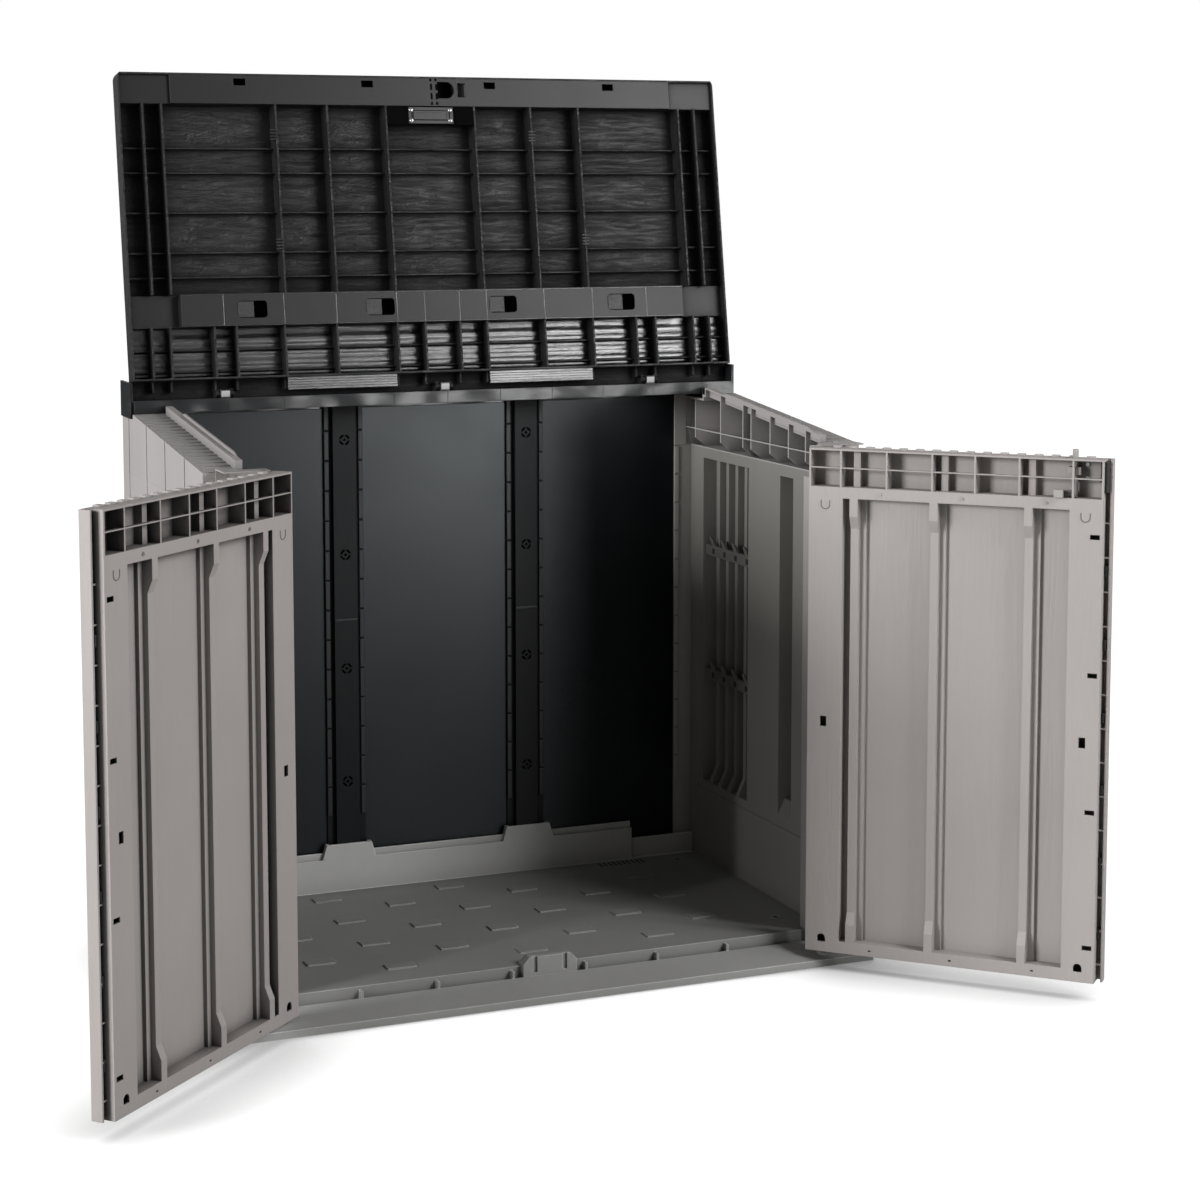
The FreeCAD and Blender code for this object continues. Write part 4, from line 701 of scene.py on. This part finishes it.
crossbar_rims = lid_block("crossbar_rims", -rim_reach, rim_reach, near=0.1475, far=0.1492,
                          low=crossbar_face - 0.0006, high=crossbar_face + 0.001, edge=0.0003)
in_a_row(crossbar_rims, 2, (0, -rim_gap, 0))
stand_in_lid(crossbar_rims, lid_gloss_plastic)

rung_half_width = 0.009
rung_count = 4
rung_pitch = 0.007
for name, x, place in (("rib_clip_1", -0.372, 0.574), ("rib_clip_2", -0.372, 0.328),
                       ("rib_clip_3", 0.366, 0.331), ("rib_clip_4", 0.246, 0.574)):
    rung = lid_block(name, x - rung_half_width, x + rung_half_width, near=place - 0.012, far=place - 0.008,
                     low=lid_inside - 0.001, high=lid_inside + 0.006, edge=0.0006)
    in_a_row(rung, rung_count, (0, -rung_pitch, 0))
    stand_in_lid(rung, lid_smooth_plastic)

# Doors: two taupe mouldings each, a planked skin and a ridged liner, welded along the rim. Teeth run along
# the top edge, painted paler as painted light, and black clips along the free edge. The liner has drain
# holes at its foot, black blocks of painted shade, and a curved mark at the top of each stile. The left
# door's plastic is a copy with much deeper painted shade in its corners and cells. The right door carries
# the bolt and the lock.
door_plastic = moulded_plastic("door_plastic", (0.47, 0.434, 0.42), (0.41, 0.379, 0.367), roughness=0.5,
                               stretch=(48, 48, 4), grain=0.0011, edge=0.06, corner_shade=0.75)
# A copy of the door plastic for the left door, with much deeper painted shade in its corners, ridges and
# cells.
shaded_door_plastic = moulded_plastic("shaded_door_plastic", (0.47, 0.434, 0.42), (0.41, 0.379, 0.367),
                                      roughness=0.5, stretch=(48, 48, 4), grain=0.0011, edge=0.06,
                                      corner_shade=0.05)
finish(door_plastic, "right_door_skin", "right_door_liner")
finish(shaded_door_plastic, "left_door_skin", "left_door_liner")
bolt_plastic = moulded_plastic("bolt_plastic", (0.45, 0.425, 0.41), (0.4, 0.375, 0.36), roughness=0.42,
                               stretch=(30, 30, 30), grain=0.0001, edge=0.06)
finish(bolt_plastic, "slide_bolt", "bolt_guide")
lock_plastic = moulded_plastic("lock_plastic", (0.018, 0.018, 0.018), (0.012, 0.012, 0.012), roughness=0.4,
                               stretch=(30, 30, 30), grain=0.0001, edge=0.03)
finish(lock_plastic, "edge_lock")
door_turn = {"left": -137.0, "right": 134.6}
door_hand = {"left": 1, "right": -1}
door_inside = 0.049


def door_block(name, side, near, far, outer, inner, foot, top, edge):
    """Block laid out on a shut door: from its pivot to its free edge, inwards, and up."""
    ends = sorted((door_hand[side] * near, door_hand[side] * far))
    return block(name, (ends[0], outer, foot), (ends[1], inner, top), edge)


def hang_on_door(piece, side, material):
    """Swings a piece that was laid out on a shut door round with the open door."""
    low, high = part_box(side + "_door_pins")
    bpy.ops.object.select_all(action="DESELECT")
    piece.select_set(True)
    bpy.context.view_layer.objects.active = piece
    piece.rotation_euler = (0, 0, math.radians(door_turn[side]))
    piece.location = ((low.x + high.x) / 2, (low.y + high.y) / 2, 0)
    bpy.ops.object.transform_apply(location=True, rotation=True, scale=True)
    put(piece, material, side + "_door")


# Painted light: the teeth are painted paler than the door plastic, as light on the brightly lit top edge.
painted_light_teeth_plastic = moulded_plastic("painted_light_teeth_plastic", (0.6, 0.57, 0.555), (0.53, 0.5, 0.49), roughness=0.45,
                               stretch=(30, 30, 30), grain=0.0001, edge=0.06)
mark_plastic = moulded_plastic("mark_plastic", (0.2, 0.185, 0.178), (0.16, 0.148, 0.142), roughness=0.5,
                               stretch=(30, 30, 30), grain=0.0001, edge=0)
tooth_count = 16
tooth_pitch = 0.036
edge_clip_count = 6
edge_clip_pitch = 0.152
drain_count = 3
drain_pitch = 0.176
mark_radius = 0.0095
mark_height = 1.012
mark_leg = 0.009
for side in ("left", "right"):
    hand = door_hand[side]
    door_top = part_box(side + "_door_skin")[1].z
    teeth = door_block(side + "_door_teeth", side, near=0.02, far=0.037, outer=0.009, inner=0.022,
                       foot=door_top - 0.001, top=door_top + 0.0034, edge=0.0008)
    in_a_row(teeth, tooth_count, (hand * tooth_pitch, 0, 0))
    hang_on_door(teeth, side, painted_light_teeth_plastic)
    clips = door_block(side + "_edge_clips", side, near=0.6035, far=0.6095, outer=0.02, inner=0.0325,
                       foot=0.13, top=0.152, edge=0.001)
    in_a_row(clips, edge_clip_count, (0, 0, edge_clip_pitch))
    hang_on_door(clips, side, lock_plastic)
    # The drain holes are black blocks: painted shade standing in for their openings.
    drains = door_block(side + "_drains", side, near=0.117, far=0.123, outer=door_inside - 0.001,
                        inner=door_inside + 0.0003, foot=0.051, top=0.054, edge=0.0002)
    in_a_row(drains, drain_count, (hand * drain_pitch, 0, 0))
    hang_on_door(drains, side, vent_black)
    for place, stile in ((0.013, "hinge"), (0.566, "free")):
        bpy.ops.object.select_all(action="DESELECT")
        bpy.ops.mesh.primitive_torus_add(major_radius=mark_radius, minor_radius=0.0011, major_segments=36,
                                         minor_segments=8,
                                         location=(hand * place, door_inside, mark_height),
                                         rotation=(math.radians(90), 0, 0))
        mark = bpy.context.object
        mark.name = side + "_" + stile + "_stile_mark"
        bpy.ops.object.transform_apply(location=True, rotation=True, scale=True)
        bpy.ops.object.mode_set(mode="EDIT")
        bpy.ops.mesh.select_all(action="SELECT")
        bpy.ops.mesh.bisect(plane_co=(0, 0, mark_height), plane_no=(0, 0, 1), clear_outer=True)
        bpy.ops.mesh.extrude_edges_move(TRANSFORM_OT_translate={"value": (0, 0, mark_leg)})
        bpy.ops.mesh.select_all(action="SELECT")
        bpy.ops.mesh.fill_holes(sides=0)
        bpy.ops.mesh.normals_make_consistent(inside=False)
        bpy.ops.object.mode_set(mode="OBJECT")
        bpy.ops.object.shade_smooth_by_angle(angle=math.radians(40))
        hang_on_door(mark, side, mark_plastic)


# Metal: zinc-plated pins, screws and rivets, a dark stamped plate riveted inside the lid, and two painted
# brackets over the door pins. The bolt's keeper, a pale plastic clip, is set in the lid beside the plate.
def plated_steel(name, colour, roughness):
    """Plated steel with fine drawn lines and small changes in gloss."""
    material = bpy.data.materials.new(name)
    material.use_nodes = True
    nodes = material.node_tree.nodes
    links = material.node_tree.links
    shader = nodes["Principled BSDF"]
    shader.inputs["Metallic"].default_value = 1.0
    place = nodes.new("ShaderNodeTexCoord")
    drawn = nodes.new("ShaderNodeMapping")
    drawn.inputs["Scale"].default_value = (40, 900, 900)
    links.new(place.outputs["Object"], drawn.inputs["Vector"])
    lines = nodes.new("ShaderNodeTexNoise")
    lines.inputs["Scale"].default_value = 1.0
    lines.inputs["Detail"].default_value = 3.0
    links.new(drawn.outputs[0], lines.inputs["Vector"])
    tone = nodes.new("ShaderNodeMix")
    tone.data_type = "RGBA"
    tone.inputs["A"].default_value = (colour[0] * 0.75, colour[1] * 0.75, colour[2] * 0.75, 1)
    tone.inputs["B"].default_value = (*colour, 1)
    links.new(lines.outputs["Fac"], tone.inputs["Factor"])
    links.new(tone.outputs["Result"], shader.inputs["Base Color"])
    gloss = nodes.new("ShaderNodeMapRange")
    gloss.inputs["To Min"].default_value = roughness - 0.1
    gloss.inputs["To Max"].default_value = roughness + 0.1
    links.new(lines.outputs["Fac"], gloss.inputs["Value"])
    links.new(gloss.outputs[0], shader.inputs["Roughness"])
    relief = nodes.new("ShaderNodeBump")
    relief.inputs["Distance"].default_value = 0.00005
    links.new(lines.outputs["Fac"], relief.inputs["Height"])
    links.new(relief.outputs[0], shader.inputs["Normal"])
    return material


dark_steel = plated_steel("dark_steel", (0.045, 0.045, 0.045), roughness=0.4)
plate_half = 0.054
plate_near = 0.602
plate_far = 0.64
plate_face = lid_inside - 0.002
plate = lid_block("stamped_plate", -plate_half, plate_half, near=plate_near, far=plate_far, low=plate_face,
                  high=lid_inside, edge=0.0006)
pick(plate, lambda corner: corner.z < plate_face + 0.0001)
bpy.ops.mesh.select_mode(type="FACE")
bpy.ops.mesh.inset(thickness=0.0065)
bpy.ops.mesh.extrude_region_move(TRANSFORM_OT_translate={"value": (0, 0, -0.0022)})
bpy.ops.transform.resize(value=(0.9, 0.82, 1))
bpy.ops.mesh.inset(thickness=0.004)
bpy.ops.mesh.extrude_region_move(TRANSFORM_OT_translate={"value": (0, 0, 0.0012)})
bpy.ops.object.mode_set(mode="OBJECT")
stand_in_lid(plate, dark_steel)
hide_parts("lid_metal_plate")
steel = plated_steel("zinc_steel", (0.52, 0.52, 0.52), roughness=0.3)
rivet_reach = 0.047
rivet_near = 0.609
rivet_gap = 0.024
rivet_radius = 0.0055
bpy.ops.object.select_all(action="DESELECT")
bpy.ops.mesh.primitive_uv_sphere_add(segments=20, ring_count=12, radius=rivet_radius, scale=(1, 1, 0.6),
                                     location=(-rivet_reach, -rivet_near, plate_face))
rivets = bpy.context.object
rivets.name = "domed_rivets"
bpy.ops.object.transform_apply(location=True, rotation=True, scale=True)
bpy.ops.object.mode_set(mode="EDIT")
bpy.ops.mesh.select_all(action="SELECT")
bpy.ops.mesh.bisect(plane_co=(0, 0, plate_face), plane_no=(0, 0, 1), clear_outer=True, use_fill=True)
bpy.ops.object.mode_set(mode="OBJECT")
in_a_row(rivets, 2, (2 * rivet_reach, 0, 0))
in_a_row(rivets, 2, (0, -rivet_gap, 0))
bpy.ops.object.shade_smooth_by_angle(angle=math.radians(40))
stand_in_lid(rivets, steel)
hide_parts("lid_plate_rivets")
finish(pale_plastic, "bolt_keeper")
finish(steel, "lid_metal_plate", "lid_plate_rivets", "lid_hinge_pins", "left_door_pins", "right_door_pins",
       "left_liner_screws", "right_liner_screws", "bolt_guide_screws", "hinge_bracket_screws")
bracket_paint = moulded_plastic("bracket_paint", (0.42, 0.4, 0.385), (0.36, 0.34, 0.33), roughness=0.4,
                                stretch=(30, 30, 30), grain=0.0001, edge=0.06)
finish(bracket_paint, "left_hinge_bracket", "right_hinge_bracket")
